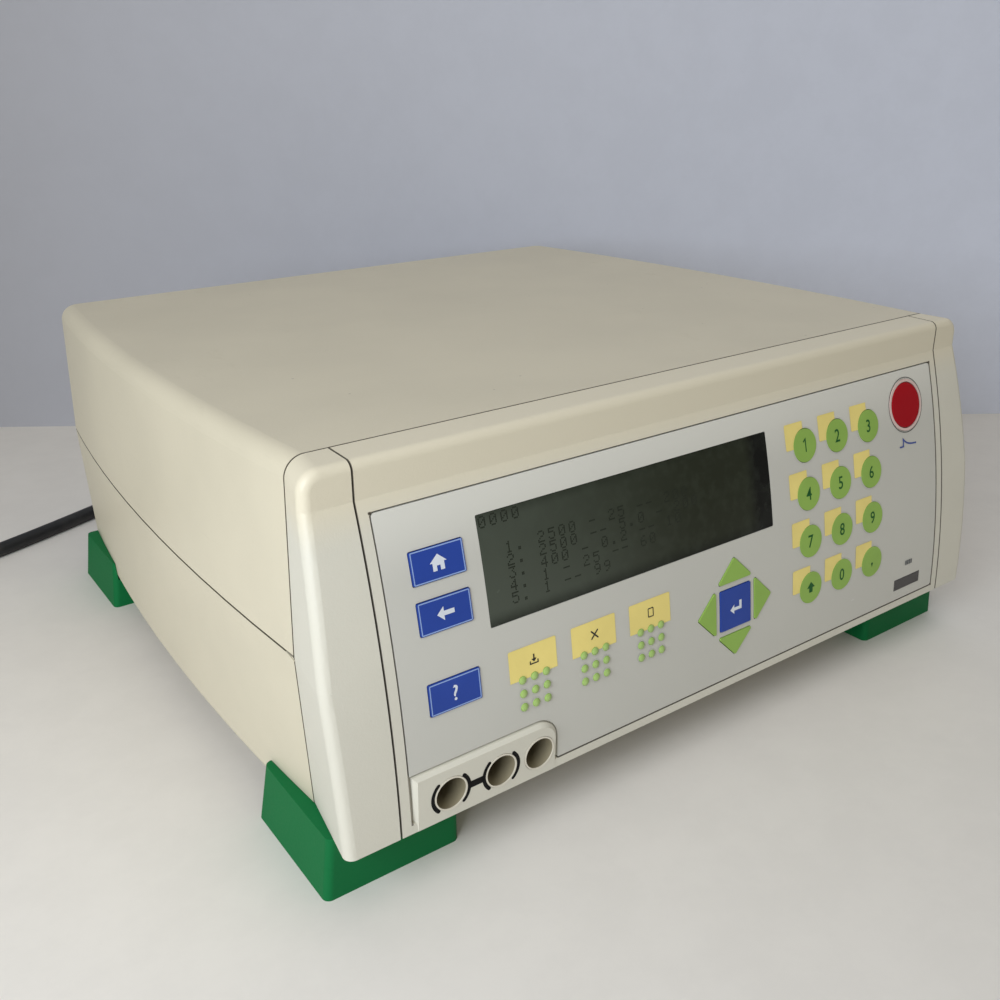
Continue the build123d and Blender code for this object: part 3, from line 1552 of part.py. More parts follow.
plug_side = up.cross(plug_direction)
with BuildPart() as mains_plug:
    with BuildSketch(plug_plane(0)):
        Circle(relief_tip_radius)
    with BuildSketch(plug_plane(relief_length)):
        Circle(relief_base_radius)
    loft(ruled=True)
    with BuildSketch(plug_plane(relief_length)):
        RectangleRounded(plug_width - plug_taper, 2 * plug_half_height - plug_taper, plug_corner_radius)
    with BuildSketch(plug_plane(relief_length + plug_taper_length)):
        RectangleRounded(plug_width, 2 * plug_half_height, plug_corner_radius)
    loft(ruled=True)
    with BuildSketch(plug_plane(relief_length + plug_taper_length)):
        RectangleRounded(plug_width, 2 * plug_half_height, plug_corner_radius)
    extrude(amount=plug_length - plug_taper_length)
    with BuildSketch(plug_plane(relief_length + plug_length)):
        with Locations((-blade_spread, 3), (blade_spread, 3)):
            Rectangle(blade_thickness_plug, blade_width)
        with Locations((0, -6)):
            Circle(earth_pin_radius)
    extrude(amount=blade_length)
mains_plug.part.label = "mains_plug"
export_step(mains_plug.part, "parts/mains_plug.step")
print("mains lead", round(relief_length * 2 + connector_length + cord_length + coil_length + plug_length, 0))
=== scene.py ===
"""Looks of a bench-top electroporator: its camera, mains lead, prints, finishes, bench and lamps.

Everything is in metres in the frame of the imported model: +X to the right seen from the front,
-Y to the front, +Z up, the origin on the bench under the middle of the unit.
"""

import math

import bpy
import numpy as np
from mathutils import Matrix, Vector


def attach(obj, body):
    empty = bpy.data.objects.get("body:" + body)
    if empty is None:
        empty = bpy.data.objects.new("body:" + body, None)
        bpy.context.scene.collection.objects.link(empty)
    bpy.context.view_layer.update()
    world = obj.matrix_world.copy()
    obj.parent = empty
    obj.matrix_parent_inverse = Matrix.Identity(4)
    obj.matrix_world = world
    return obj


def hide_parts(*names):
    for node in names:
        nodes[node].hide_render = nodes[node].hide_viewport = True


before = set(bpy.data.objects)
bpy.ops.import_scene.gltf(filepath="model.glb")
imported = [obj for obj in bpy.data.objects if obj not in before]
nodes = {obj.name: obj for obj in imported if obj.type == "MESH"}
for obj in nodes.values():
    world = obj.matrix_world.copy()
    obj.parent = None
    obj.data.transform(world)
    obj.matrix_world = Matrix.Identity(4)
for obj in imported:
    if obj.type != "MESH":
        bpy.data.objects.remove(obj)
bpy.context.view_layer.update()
mm = 0.001

# ---------------------------------------------------------------- camera

camera_place = (-0.2545, -0.3698, 0.2362)
camera_right = (0.81607, -0.57786, -0.00999)
camera_up = (0.21838, 0.29230, 0.93106)
camera_back = (-0.53510, -0.76200, 0.36473)

camera_data = bpy.data.cameras.new("camera")
camera_data.sensor_width = 36.0
camera_data.lens = 37.46
camera_data.shift_x = 0.0072
camera_data.shift_y = -0.0254
camera_data.clip_start = 0.01
camera_data.clip_end = 20.0
camera = bpy.data.objects.new("camera", camera_data)
camera_rows = [
    [*column_values, place]
    for *column_values, place in zip(camera_right, camera_up, camera_back, camera_place)
]
camera.matrix_world = Matrix(camera_rows + [[0.0, 0.0, 0.0, 1.0]])
bpy.context.scene.collection.objects.link(camera)
bpy.context.scene.camera = camera

# ---------------------------------------------------------------- mains lead

cord_radius = 3.65 * mm
bench_z = cord_radius
cord_exit = (0.080, 0.2032, 0.050)
cord_route = [
    cord_exit,
    (0.080, 0.2262, 0.050),
    (0.077, 0.250, 0.039),
    (0.060, 0.268, 0.023),
    (0.036, 0.2755, 0.010),
    (0.006, 0.269, bench_z),
    (-0.044, 0.247, bench_z),
    (-0.100, 0.2169, bench_z),
    (-0.186, 0.1796, bench_z),
    (-0.233, 0.167, bench_z),
]

coil_inner_radius = 30.0 * mm
coil_pitch = 7.8 * mm
coil_half_turns = 5             # from the outermost half turn in to the innermost one
points_per_half_turn = 8
points_of_last_quarter = 4
tip_radius = coil_inner_radius + coil_pitch / 2 * coil_half_turns


def half_turn_radii():
    """Radii of the half turns in the order of the lead: in on the bench, the climb, out on top."""
    lower = [coil_inner_radius + coil_pitch / 2 * step for step in range(coil_half_turns, -1, -1)]
    upper = [coil_inner_radius + coil_pitch / 2 * step for step in range(1, coil_half_turns)]
    return lower + upper


def arc_points(start, heading, across, radius, turn, rise, count):
    """Control points of an arc: start + across r (1 - cos a) + heading r sin a for the middles of
    equal steps of a up to turn, each a little outside the arc because the spline cuts its corners,
    while the height climbs evenly by rise."""
    step = turn / count
    angles = (np.arange(count) + 0.5) * step
    outside = radius / math.cos(step / 2)
    centre = start + across * radius
    sideways = np.outer(np.cos(angles), across)
    forward = np.outer(np.sin(angles), heading)
    flat = centre - sideways * outside + forward * outside
    flat[:, 2] = start[2] + rise * angles / turn
    return flat


def coil_points():
    """Control points of the coil: half turns to the right, each begun where the last one ended with
    its heading turned round, then a quarter turn and a short run to the plug."""
    start = np.array(cord_route[-1])
    heading = start - np.array(cord_route[-2])
    heading[2] = 0.0
    heading /= np.linalg.norm(heading)
    up = np.array([0.0, 0.0, 1.0])
    place = start + heading * 2 * cord_radius
    rows = []
    for index, radius in enumerate(half_turn_radii()):
        across = np.cross(heading, up)
        rise = coil_pitch if index == coil_half_turns else 0.0
        rows.append(arc_points(place, heading, across, radius, math.pi, rise, points_per_half_turn))
        place = place + across * 2 * radius + up * rise
        heading = -heading
    across = np.cross(heading, up)
    quarter = math.pi / 2
    count = points_of_last_quarter
    rows.append(arc_points(place, heading, across, tip_radius, quarter, 0.0, count))
    end = place + across * tip_radius + heading * tip_radius
    run_points = [end + across * cord_radius, end + across * 4 * cord_radius]
    rows.append(np.array(run_points))
    return np.vstack(rows)


cord_points = np.vstack([np.array(cord_route[:-1]), coil_points()])
cord_data = bpy.data.curves.new("mains_lead", "CURVE")
cord_data.dimensions = "3D"
cord_data.bevel_depth = 1.0     # times each point's radius
cord_data.bevel_resolution = 5
cord_data.use_fill_caps = True
spline = cord_data.splines.new("NURBS")
spline.points.add(len(cord_points) - 1)
spline.points.foreach_set("co", np.column_stack([cord_points, np.ones(len(cord_points))]).ravel())
spline.points.foreach_set("radius", np.full(len(cord_points), cord_radius))
spline.order_u = 3
spline.use_endpoint_u = True
spline.resolution_u = 6
mains_lead = bpy.data.objects.new("mains_lead", cord_data)
bpy.context.scene.collection.objects.link(mains_lead)
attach(mains_lead, "base")
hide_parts("power_cord", "cord_coil")

# ---------------------------------------------------------------- sums of shader values


class Value:
    """A node's output that takes part in sums: each operation adds its Math node."""

    def __init__(self, finish, socket):
        self.finish = finish
        self.socket = socket

    def sum_with(self, operation, first, second):
        node = self.finish.node("ShaderNodeMath", {"operation": operation}, {0: first, 1: second})
        return Value(self.finish, node.outputs[0])

    def __add__(self, other):
        return self.sum_with("ADD", self, other)

    def __radd__(self, other):
        return self.sum_with("ADD", other, self)

    def __sub__(self, other):
        return self.sum_with("SUBTRACT", self, other)

    def __rsub__(self, other):
        return self.sum_with("SUBTRACT", other, self)

    def __mul__(self, other):
        return self.sum_with("MULTIPLY", self, other)

    def __rmul__(self, other):
        return self.sum_with("MULTIPLY", other, self)

    def band(self, low, high):
        """0 below low and 1 above high, with a smooth step between them."""
        node = self.finish.node(
            "ShaderNodeMapRange",
            {"interpolation_type": "SMOOTHSTEP"},
            {"Value": self, "From Min": low, "From Max": high, "To Min": 0.0, "To Max": 1.0},
        )
        return Value(self.finish, node.outputs["Result"])


def linear(red, green, blue):
    """Linear colour of an 8-bit display colour: c / 12.92 in the toe, and above it
    ((c + 0.055) / 1.055) ** 2.4."""
    toe = 0.04045
    shares = [value / 255 for value in (red, green, blue)]
    channels = [s / 12.92 if s <= toe else ((s + 0.055) / 1.055) ** 2.4 for s in shares]
    return (*channels, 1.0)


class Finish:
    """A material of the unit: a shader whose colour, roughness and relief vary over the surface."""

    def __init__(
        self, name, roughness=0.5, metallic=0.0, coat=0.0, coat_roughness=0.1, specular=0.5
    ):
        self.material = bpy.data.materials.new(name)
        self.material.use_nodes = True
        self.nodes = self.material.node_tree.nodes
        self.links = self.material.node_tree.links
        self.shader = self.nodes["Principled BSDF"]
        self.set("Roughness", roughness)
        self.set("Metallic", metallic)
        self.set("Coat Weight", coat)
        self.set("Coat Roughness", coat_roughness)
        self.set("Specular IOR Level", specular)
        self.place = self.node("ShaderNodeTexCoord").outputs["Object"]

    def node(self, kind, settings=None, values=None):
        """Adds a node of that type: its settings come first, then its sockets' values or links."""
        node = self.nodes.new(kind)
        for name, value in (settings or {}).items():
            setattr(node, name, value)
        for name, value in (values or {}).items():
            self.feed(node.inputs[name], value)
        return node

    def feed(self, socket, value):
        """Links a value or an output to a socket, or writes a constant on it."""
        if isinstance(value, Value):
            value = value.socket
        if isinstance(value, bpy.types.NodeSocket):
            self.links.new(value, socket)
        else:
            socket.default_value = value

    def set(self, name, value):
        self.feed(self.shader.inputs[name], value)

    def stretched(self, scale):
        """Object coordinates multiplied by a scale for each axis."""
        return self.node("ShaderNodeMapping", {}, {"Vector": self.place, "Scale": scale}).outputs[0]

    def noise(self, scale, detail=2.0, rough=0.5, vector=None):
        node = self.node(
            "ShaderNodeTexNoise",
            {},
            {"Vector": vector or self.place, "Scale": scale, "Detail": detail, "Roughness": rough},
        )
        return Value(self, node.outputs[0])

    def specks(self, scale, size, vector=None):
        """1 inside small round specks that lie one to a cell of the pattern, and 0 outside."""
        values = {"Vector": vector or self.place, "Scale": scale}
        node = self.node("ShaderNodeTexVoronoi", {}, values)
        return 1 - Value(self, node.outputs["Distance"]).band(size * 0.6, size)

    def axis(self, index):
        """One of the object coordinates, in metres."""
        node = self.node("ShaderNodeSeparateXYZ", {}, {"Vector": self.place})
        return Value(self, node.outputs[index])

    def distance(self, value, level):
        """How far a value is from a level, to either side."""
        offset = value - level
        node = self.node("ShaderNodeMath", {"operation": "ABSOLUTE"}, {0: offset})
        return Value(self, node.outputs[0])

    def mix(self, share, first, second):
        """Colour between first and second by share."""
        node = self.node("ShaderNodeMix", {"data_type": "RGBA"}, {0: share, 6: first, 7: second})
        return node.outputs[2]

    def relief(self, height, strength, distance):
        """Bumps the surface by a height; several calls follow each other."""
        values = {"Height": height, "Strength": strength, "Distance": distance}
        if self.shader.inputs["Normal"].is_linked:
            values["Normal"] = self.shader.inputs["Normal"].links[0].from_socket
        self.set("Normal", self.node("ShaderNodeBump", {}, values).outputs[0])


def varied(colour, share):
    """The colour made darker or lighter by a share."""
    return tuple(channel * (1 + share) for channel in colour[:3]) + (1.0,)


def moulded(name, colour, roughness, grain=1400.0, depth=0.00004, mottle=0.06, specular=0.5):
    """Moulded plastic: a fine spark-eroded grain, cloudy colour, and a few dull scuffs."""
    finish = Finish(name, specular=specular)
    cloud = finish.noise(14.0, 3.0, 0.6)
    fine = finish.noise(grain, 3.0, 0.7)
    scuff = finish.noise(60.0, 5.0, 0.75, finish.stretched((1.0, 0.35, 2.5))).band(0.62, 0.74)
    base = finish.mix(cloud.band(0.3, 0.7), varied(colour, -mottle), varied(colour, mottle * 0.5))
    finish.set("Base Color", finish.mix(scuff * 0.25, base, varied(colour, -0.12)))
    finish.set("Roughness", roughness + (fine - 0.5) * 0.16 + scuff * 0.08)
    finish.relief(fine, 0.5, depth)
    return finish


def metal(name, colour, roughness, brushed=(1.0, 1.0, 1.0)):
    """Sheet or plated metal: fine brushing one way, cloudy brightness and small dull marks."""
    finish = Finish(name, metallic=1.0)
    lines = finish.noise(900.0, 2.0, 0.6, finish.stretched(brushed))
    cloud = finish.noise(25.0, 3.0, 0.6)
    marks = finish.noise(120.0, 4.0, 0.7).band(0.62, 0.75)
    base = finish.mix(cloud.band(0.3, 0.7), varied(colour, -0.12), colour)
    finish.set("Base Color", finish.mix(marks * 0.25, base, varied(colour, -0.3)))
    finish.set("Roughness", roughness + (lines - 0.5) * 0.16 + marks * 0.1)
    finish.relief(lines, 0.15, 0.00002)
    return finish


def printed(name, colour, roughness=0.45, coat=0.0, specular=0.3):
    """Screen-printed ink: nearly even colour with a faint mesh of the screen and soft patches."""
    finish = Finish(name, coat=coat, coat_roughness=0.2, specular=specular)
    mesh = finish.noise(2600.0, 2.0, 0.6)
    cloud = finish.noise(40.0, 3.0, 0.6)
    base = finish.mix(cloud.band(0.3, 0.7), varied(colour, -0.05), varied(colour, 0.04))
    finish.set("Base Color", finish.mix(mesh.band(0.6, 0.8) * 0.3, base, varied(colour, -0.12)))
    finish.set("Roughness", roughness + (mesh - 0.5) * 0.12)
    finish.relief(mesh, 0.3, 0.00002)
    return finish


# ---------------------------------------------------------------- finishes of the unit

block_face_y = -149.27          # in mm, the socket block's flat face where it would reach the bench
block_slope = -0.03436
case_colour = linear(216, 208, 184)
fascia_colour = linear(219, 216, 201)
# Painted light: a warmer cream for the fascia's top, standing in for the warmer light that falls
# there
fascia_top_painted_light = linear(226, 218, 194)
# Painted shade: a dark brown that darkens the walls of the seams and the edges of the film's recess
seam_shade_colour = linear(70, 62, 50)
dust_colour = linear(150, 142, 122)

# Where the seams run, and how far the painted shade in their walls reaches, in metres
front_seam_y = -0.119
cheek_seam_x = 0.1346
parting_z = 0.0755
film_recess_x = 0.13065
film_recess_top_z = 0.12155
film_recess_foot_z = 0.02585
seam_reach = 0.00034
parting_reach = 0.00039
recess_reach = 0.0003


def near(value, level, reach):
    """1 where the value is within reach of the level and 0 past it."""
    return 1 - value.finish.distance(value, level).band(reach, reach * 1.1)


def case_finish(name, colour, dusty=False, parted=False):
    """Cream plastic with a fine grain. The walls of its seams are darkened with painted shade: at
    the front seam, at the cheeks' seams, on the covers along the parting line, and on the fascia
    round the film's recess. Dust lies on the covers' level top, and painted light makes the fascia
    warmer along its top."""
    finish = moulded(name, colour, 0.44, grain=950.0, depth=0.00011, mottle=0.035)
    base = finish.shader.inputs["Base Color"].links[0].from_socket
    depth, height = finish.axis(1), finish.axis(2)
    side = finish.distance(finish.axis(0), 0.0)
    in_front = 1 - depth.band(-0.1195, -0.1190)
    # Painted shade: a mask of the walls of the front seam, the cheeks' seams and the parting line,
    # then of the film's recess edges
    seam_shade = near(depth, front_seam_y, seam_reach)
    seam_shade = seam_shade + near(side, cheek_seam_x, seam_reach) * in_front
    if parted:
        seam_shade = seam_shade + near(height, parting_z, parting_reach)
    else:
        # Painted light: the fascia made warmer towards its top
        base = finish.mix(height.band(0.113, 0.128), base, fascia_top_painted_light)
        right_of_block = finish.axis(0).band(-0.0756, -0.0750)
        edges = near(side, film_recess_x, seam_reach)
        edges = edges + near(height, film_recess_top_z, recess_reach)
        edges = edges + near(height, film_recess_foot_z, recess_reach) * right_of_block
        inside = (1 - side.band(0.1311, 0.1313)) * height.band(0.0254, 0.0255)
        below_top = 1 - height.band(0.12190, 0.12195)
        seam_shade = seam_shade + edges * inside * below_top * in_front
    # Painted shade: the masked walls darkened towards the dark brown
    base = finish.mix(seam_shade * 0.8, base, seam_shade_colour)
    if dusty:
        patches = finish.noise(18.0, 3.0, 0.6).band(0.45, 0.6)
        dust = finish.specks(95.0, 0.055) * patches * height.band(0.128, 0.133)
        base = finish.mix(dust * 0.5, base, dust_colour)
    finish.set("Base Color", base)
    return finish


def overlay_finish():
    """The keypad's film: pale grey polyester with a very fine matt grain and faint wiping marks,
    and painted light that makes it a little paler along its top."""
    colour = linear(205, 204, 195)
    finish = Finish("grey_film", specular=0.5)
    fine = finish.noise(3200.0, 2.0, 0.6)
    wipes = finish.noise(30.0, 4.0, 0.65, finish.stretched((0.5, 1.0, 1.6)))
    smudge = finish.noise(9.0, 3.0, 0.5)
    base = finish.mix(smudge.band(0.3, 0.7), varied(colour, -0.03), varied(colour, 0.02))
    # Painted light: the film made a fifth paler towards its top
    base = finish.mix(finish.axis(2).band(0.098, 0.122), base, varied(colour, 0.2))
    scratch = finish.specks(70.0, 0.05, finish.stretched((0.6, 1.0, 2.2))) * wipes.band(0.5, 0.65)
    finish.set("Base Color", finish.mix(scratch * 0.5, base, linear(228, 228, 224)))
    finish.set("Roughness", 0.38 + (fine - 0.5) * 0.1 + (wipes - 0.5) * 0.16)
    finish.relief(fine, 0.35, 0.00002)
    return finish


def socket_finish():
    """The sleeves: brownish beige, with a painted highlight that makes the rim pale in the plane of
    the mouths, and painted shade that makes the bore darker and browner behind it.
    """
    finish = moulded("socket_sleeve", linear(150, 141, 116), 0.46, grain=900.0)
    base = finish.shader.inputs["Base Color"].links[0].from_socket
    behind = finish.axis(1) - finish.axis(2) * block_slope - block_face_y * mm
    # Painted highlight: the pale rim in the plane of the mouths
    rim_highlight = 1 - behind.band(0.00002, 0.00025)
    # Painted shade: the bore darker and browner deeper behind its mouth
    bore_shade = behind.band(0.002, 0.016)
    base = finish.mix(bore_shade * 0.6, base, linear(112, 102, 80))
    finish.set("Base Color", finish.mix(rim_highlight, base, linear(228, 222, 205)))
    return finish


def display_finish():
    """The pane: dark olive grey, with painted reflection that makes it lighter to the left and more
    so to the lower left, and painted shade that makes it darker along its top and nearly black at
    its right end and along its foot."""
    finish = Finish("display_pane", specular=0.22)
    across = finish.axis(0)
    height = finish.axis(2)
    # Painted reflection: the pane lighter at its left, darker towards the middle, lighter still low
    # at the left
    base = finish.mix(across.band(-0.110, 0.000), linear(74, 80, 70), linear(40, 44, 32))
    lower_left_reflection = (1 - height.band(0.082, 0.110)) * (1 - across.band(-0.075, -0.010))
    base = finish.mix(lower_left_reflection * 0.4, base, linear(84, 90, 80))
    # Painted shade: darker along the pane's foot and top, nearly black at its right end
    foot = 1 - height.band(0.0775, 0.0835)
    base = finish.mix(foot * 0.8, base, linear(20, 23, 18))
    top = height.band(0.1095, 0.1135)
    base = finish.mix(top * 0.5, base, linear(30, 35, 25))
    end = across.band(0.0165, 0.0235)
    base = finish.mix(end * 0.92, base, linear(8, 9, 10))
    rows = finish.noise(220.0, 2.0, 0.5)
    finish.set("Base Color", finish.mix(rows.band(0.4, 0.7) * 0.1, base, linear(84, 92, 80)))
    dust = finish.noise(50.0, 4.0, 0.7)
    finish.set("Roughness", 0.16 + dust.band(0.45, 0.8) * 0.14)
    finish.relief(finish.noise(700.0, 2.0, 0.5), 0.1, 0.00001)
    return finish


def lead_finish():
    """The mains lead's sheath: dull black flexible plastic with fine lengthwise drawing marks."""
    colour = linear(26, 26, 27)
    finish = Finish("black_sheath", specular=0.45)
    fine = finish.noise(700.0, 3.0, 0.6)
    dust = finish.noise(45.0, 4.0, 0.7)
    finish.set("Base Color", finish.mix(dust.band(0.45, 0.75), colour, linear(48, 47, 46)))
    finish.set("Roughness", 0.48 + (fine - 0.5) * 0.2 + dust.band(0.5, 0.8) * 0.12)
    finish.relief(fine, 0.4, 0.00005)
    return finish


def plug_finish():
    """The mains plug: black moulding, and bright metal pins past its face, where the distance along
    its heading is over that of the face."""
    finish = moulded("plug_moulding", linear(30, 30, 31), 0.45, mottle=0.12)
    base = finish.shader.inputs["Base Color"].links[0].from_socket
    heading_x, heading_y = -0.259, 0.966
    along = finish.axis(0) * heading_x + finish.axis(1) * heading_y
    pins = along.band(0.35355, 0.35365)
    finish.set("Base Color", finish.mix(pins, base, linear(202, 196, 178)))
    finish.set("Metallic", pins)
    return finish


def connector_finish():
    """The two module sockets: plated flanges and shells, and a black insert inside each shell's
    face, where the distances from its middle stay under the half sizes of the insert."""
    middle_x, half_pitch, middle_z = 0.016, 0.014, 0.076
    finish = metal("plated_shell", linear(190, 190, 186), 0.36)
    base = finish.shader.inputs["Base Color"].links[0].from_socket
    across = finish.distance(finish.distance(finish.axis(0), middle_x), half_pitch)
    rise = finish.distance(finish.axis(2), middle_z)
    insert = (1 - across.band(0.0032, 0.0034)) * (1 - rise.band(0.0074, 0.0076))
    insert = insert * finish.axis(1).band(0.1440, 0.1444)
    finish.set("Base Color", finish.mix(insert, base, linear(24, 24, 26)))
    finish.set("Metallic", 1 - insert)
    return finish


def board_finish():
    """Circuit board: green solder mask over copper areas, seen through it as lighter fields."""
    finish = Finish("solder_mask", coat=0.6, coat_roughness=0.15)
    fields = finish.noise(90.0, 1.0, 0.3).band(0.48, 0.52)
    base = finish.mix(fields, linear(18, 74, 48), linear(30, 98, 62))
    pads = finish.specks(260.0, 0.28)
    finish.set("Base Color", finish.mix(pads * 0.5, base, linear(160, 160, 150)))
    finish.set("Roughness", 0.35 + (finish.noise(400.0) - 0.5) * 0.15)
    finish.relief(fields + pads * 0.5, 0.3, 0.00003)
    return finish


# The record's material slots and their finishes
finishes = {
    "case_cream": case_finish("cream_case", fascia_colour),
    "overlay_grey": overlay_finish(),
    "window": display_finish(),
    "window_dark": moulded("dark_window", linear(62, 60, 60), 0.22, grain=500.0, depth=0.00001),
    "ring_pink": moulded("pale_ring", linear(224, 200, 192), 0.4),
    "display_black": moulded("display_frame", linear(30, 30, 31), 0.5),
    "board_green": board_finish(),
    "socket_beige": socket_finish(),
    "contact_brass": metal("plated_contact", linear(196, 158, 84), 0.28),
    "panel_metal": moulded("painted_panel", linear(206, 204, 194), 0.5, 1100.0, 0.00008),
    "plated_steel": metal("plated_steel", linear(196, 197, 199), 0.28, (1.0, 1.0, 0.2)),
    "black_plastic": moulded("black_plastic", linear(34, 34, 36), 0.45, mottle=0.12),
    "sheet_metal": metal("sheet_metal", linear(188, 190, 192), 0.34, (0.12, 1.0, 1.0)),
    "capacitor_sleeve": moulded("capacitor_sleeve", linear(28, 44, 92), 0.3, grain=400.0),
    "sink_aluminium": metal("sink_aluminium", linear(168, 170, 173), 0.4, (1.0, 0.1, 1.0)),
    "cord_black": lead_finish(),
    "key_green": printed("green_key", linear(150, 188, 88), 0.42),
    "key_blue": printed("blue_key", linear(40, 71, 160), 0.42),
    "key_red": printed("red_key", linear(168, 4, 22), 0.4, specular=0.15),
    "foot_green": moulded("green_foot", linear(3, 108, 56), 0.6, 1000.0, mottle=0.05, specular=0.2),
}

covers_finish = case_finish("cream_covers", case_colour, dusty=True, parted=True)
for piece in nodes.values():
    for material_slot in piece.material_slots:
        finish_name = material_slot.name.split(".")[0]
        material_slot.material = finishes[finish_name].material
for name in ("top_cover", "bottom_case"):
    nodes[name].material_slots[0].material = covers_finish.material
cord_data.materials.append(finishes["cord_black"].material)
nodes["mains_plug"].material_slots[0].material = plug_finish().material
nodes["module_connectors"].material_slots[0].material = connector_finish().material

# ---------------------------------------------------------------- prints on the front

# Sizes of the front in millimetres: X across and Z up, as on the solids
front_radius = 380.0
front_centre_y = 229.9
front_centre_z = 11.75
ink_height = 0.06
round_key_radius = 6.3
round_key_x = (49.7, 68.4, 87.4)
round_key_levels = (104.0, 85.9, 67.5, 48.8)
round_key_proud = 0.15
key_proud = 0.3
key_gap = 0.3
film_gap = 0.04                 # between a key and the film's ring round it
film_lap = 0.1                  # of that ring over the film
pane_left_x = -97.1
pane_top_z = 112.9
pane_depth = 0.1


def on_front(points, proud):
    """Places drawn points (x, z), in millimetres, on the sloping front: y = centre y less the root
    of r squared less (z - centre z) squared, then moved out along the normal by proud."""
    x, z = points[:, 0], points[:, 1]
    rise = (z - front_centre_z) / front_radius
    level = np.sqrt(1 - rise**2)
    y = front_centre_y - front_radius * level - proud * level
    return np.column_stack([x, y, z + proud * rise]) * mm


def on_block(points, proud):
    """Places drawn points (x, z) on the socket block's flat face: y = y at the bench plus the slope
    times z, less proud."""
    y = block_face_y + points[:, 1] * block_slope - proud
    return np.column_stack([points[:, 0], y, points[:, 1]]) * mm


def shape(*faces):
    """One drawing out of outlines, each a list of points in the order against the clock."""
    points = np.vstack([np.asarray(face, float) for face in faces])
    ends = np.cumsum([len(face) for face in faces])
    return points, [tuple(range(end - len(face), end)) for face, end in zip(faces, ends)]


def joined(*drawings):
    """Several drawings as one."""
    points, faces, count = [], [], 0
    for drawn, outlines in drawings:
        points.append(drawn)
        faces += [tuple(index + count for index in face) for face in outlines]
        count += len(drawn)
    return np.vstack(points), faces


def moved(drawing, x, z):
    return drawing[0] + np.array([x, z]), drawing[1]


def arc(radius, start, end, count):
    """Points at a radius, from one angle in degrees to another."""
    angles = np.radians(np.linspace(start, end, count))
    return np.column_stack([np.cos(angles), np.sin(angles)]) * radius


def rounded(width, height, radius):
    """Rectangle with round corners: a quarter arc about each corner's centre."""
    x, z = width / 2 - radius, height / 2 - radius
    centres = [(x, z, 0), (-x, z, 90), (-x, -z, 180), (x, -z, 270)]
    return np.vstack([arc(radius, turn, turn + 90, 5) + [x, z] for x, z, turn in centres])


def band_between(outer, inner):
    """Quads from one closed loop to another with as many points."""
    count = len(outer)
    faces = [
        (index, (index + 1) % count, (index + 1) % count + count, index + count)
        for index in range(count)
    ]
    return np.vstack([outer, inner]), faces


def frame_line(width, height, radius, line):
    """A line of that width round the inside of a rounded rectangle."""
    outer = rounded(width, height, radius)
    inner = rounded(width - 2 * line, height - 2 * line, max(radius - line, 0.02))
    return band_between(outer, inner)


def ring(inner, outer, count):
    """A flat ring between two radii."""
    turn = arc(1.0, 0, 360 - 360 / count, count)
    return band_between(turn * outer, turn * inner)


def stroke(points, width, caps=True):
    """A line of that width along points: each point moved half the width to both sides along its
    bisector, with a half circle at each end."""
    points = np.asarray(points, float)
    runs = np.diff(points, axis=0)
    runs /= np.linalg.norm(runs, axis=1)[:, None]
    sides = np.column_stack([-runs[:, 1], runs[:, 0]])
    ends = np.vstack([sides[:1], sides[:-1] + sides[1:], sides[-1:]])
    ends[1:-1] *= 2 / (np.linalg.norm(ends[1:-1], axis=1)[:, None] ** 2)
    left, right = points + ends * width / 2, points - ends * width / 2
    count = len(points)
    faces = [(index + count, index + count + 1, index + 1, index) for index in range(count - 1)]
    strip = (np.vstack([left, right]), faces)
    if not caps:
        return strip
    first = math.degrees(math.atan2(sides[0, 1], sides[0, 0]))
    last = math.degrees(math.atan2(-sides[-1, 1], -sides[-1, 0]))
    start_cap = shape(arc(width / 2, first, first + 180, 9) + points[0])
    end_cap = shape(arc(width / 2, last, last + 180, 9) + points[-1])
    return joined(strip, start_cap, end_cap)


def put(name, drawing, finish, place, proud, body):
    """A printed piece: the drawing laid on a surface of the unit by the function place, proud of it
    by so many millimetres, and riding on a body."""
    points, faces = drawing
    mesh = bpy.data.meshes.new(name)
    mesh.from_pydata(place(points, proud).tolist(), [], faces)
    mesh.materials.append(finish.material)
    piece = bpy.data.objects.new(name, mesh)
    bpy.context.scene.collection.objects.link(piece)
    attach(piece, body)
    return piece


def figure(text, height, width_share=0.9, boldness=0.012):
    """A figure or sign in Blender's own letters as a drawing, centred: scaled to the height, and
    across to a share of that scale."""
    letters = bpy.data.curves.new("figure", "FONT")
    letters.body = text
    letters.resolution_u = 3
    letters.offset = boldness
    writer = bpy.data.objects.new("figure", letters)
    bpy.context.scene.collection.objects.link(writer)
    bpy.context.view_layer.update()
    drawn = writer.evaluated_get(bpy.context.evaluated_depsgraph_get())
    mesh = bpy.data.meshes.new_from_object(drawn)
    points = np.array([vertex.co[:2] for vertex in mesh.vertices])
    faces = [tuple(polygon.vertices) for polygon in mesh.polygons]
    bpy.data.objects.remove(writer)
    bpy.data.meshes.remove(mesh)
    low, high = points.min(axis=0), points.max(axis=0)
    scale = height / (high[1] - low[1])
    return (points - (low + high) / 2) * [scale * width_share, scale], faces


ink_green = printed("dark_green_ink", linear(20, 92, 36), 0.5)
dome_green = printed("dome_green", linear(160, 190, 108), 0.3, coat=0.6)
ink_white = printed("white_ink", linear(226, 232, 240), 0.42)
ink_pale_blue = printed("pale_blue_edge", linear(150, 176, 224), 0.4)
ink_yellow = printed("yellow_ink", linear(248, 228, 138), 0.42)
# Dark ink for the signs on the yellow fields, also used as painted shade round the red button's
# ring
ink_dark_and_shade = printed("dark_ink_and_shade", linear(40, 42, 44), 0.5)
ink_blue = printed("blue_ink", linear(62, 84, 160), 0.45)
ink_grey = printed("grey_ink", linear(110, 112, 112), 0.5)
ink_black = printed("black_ink", linear(12, 12, 13), 0.6, specular=0.15)
dots_ink = printed("display_dots", linear(40, 45, 36), 0.18)

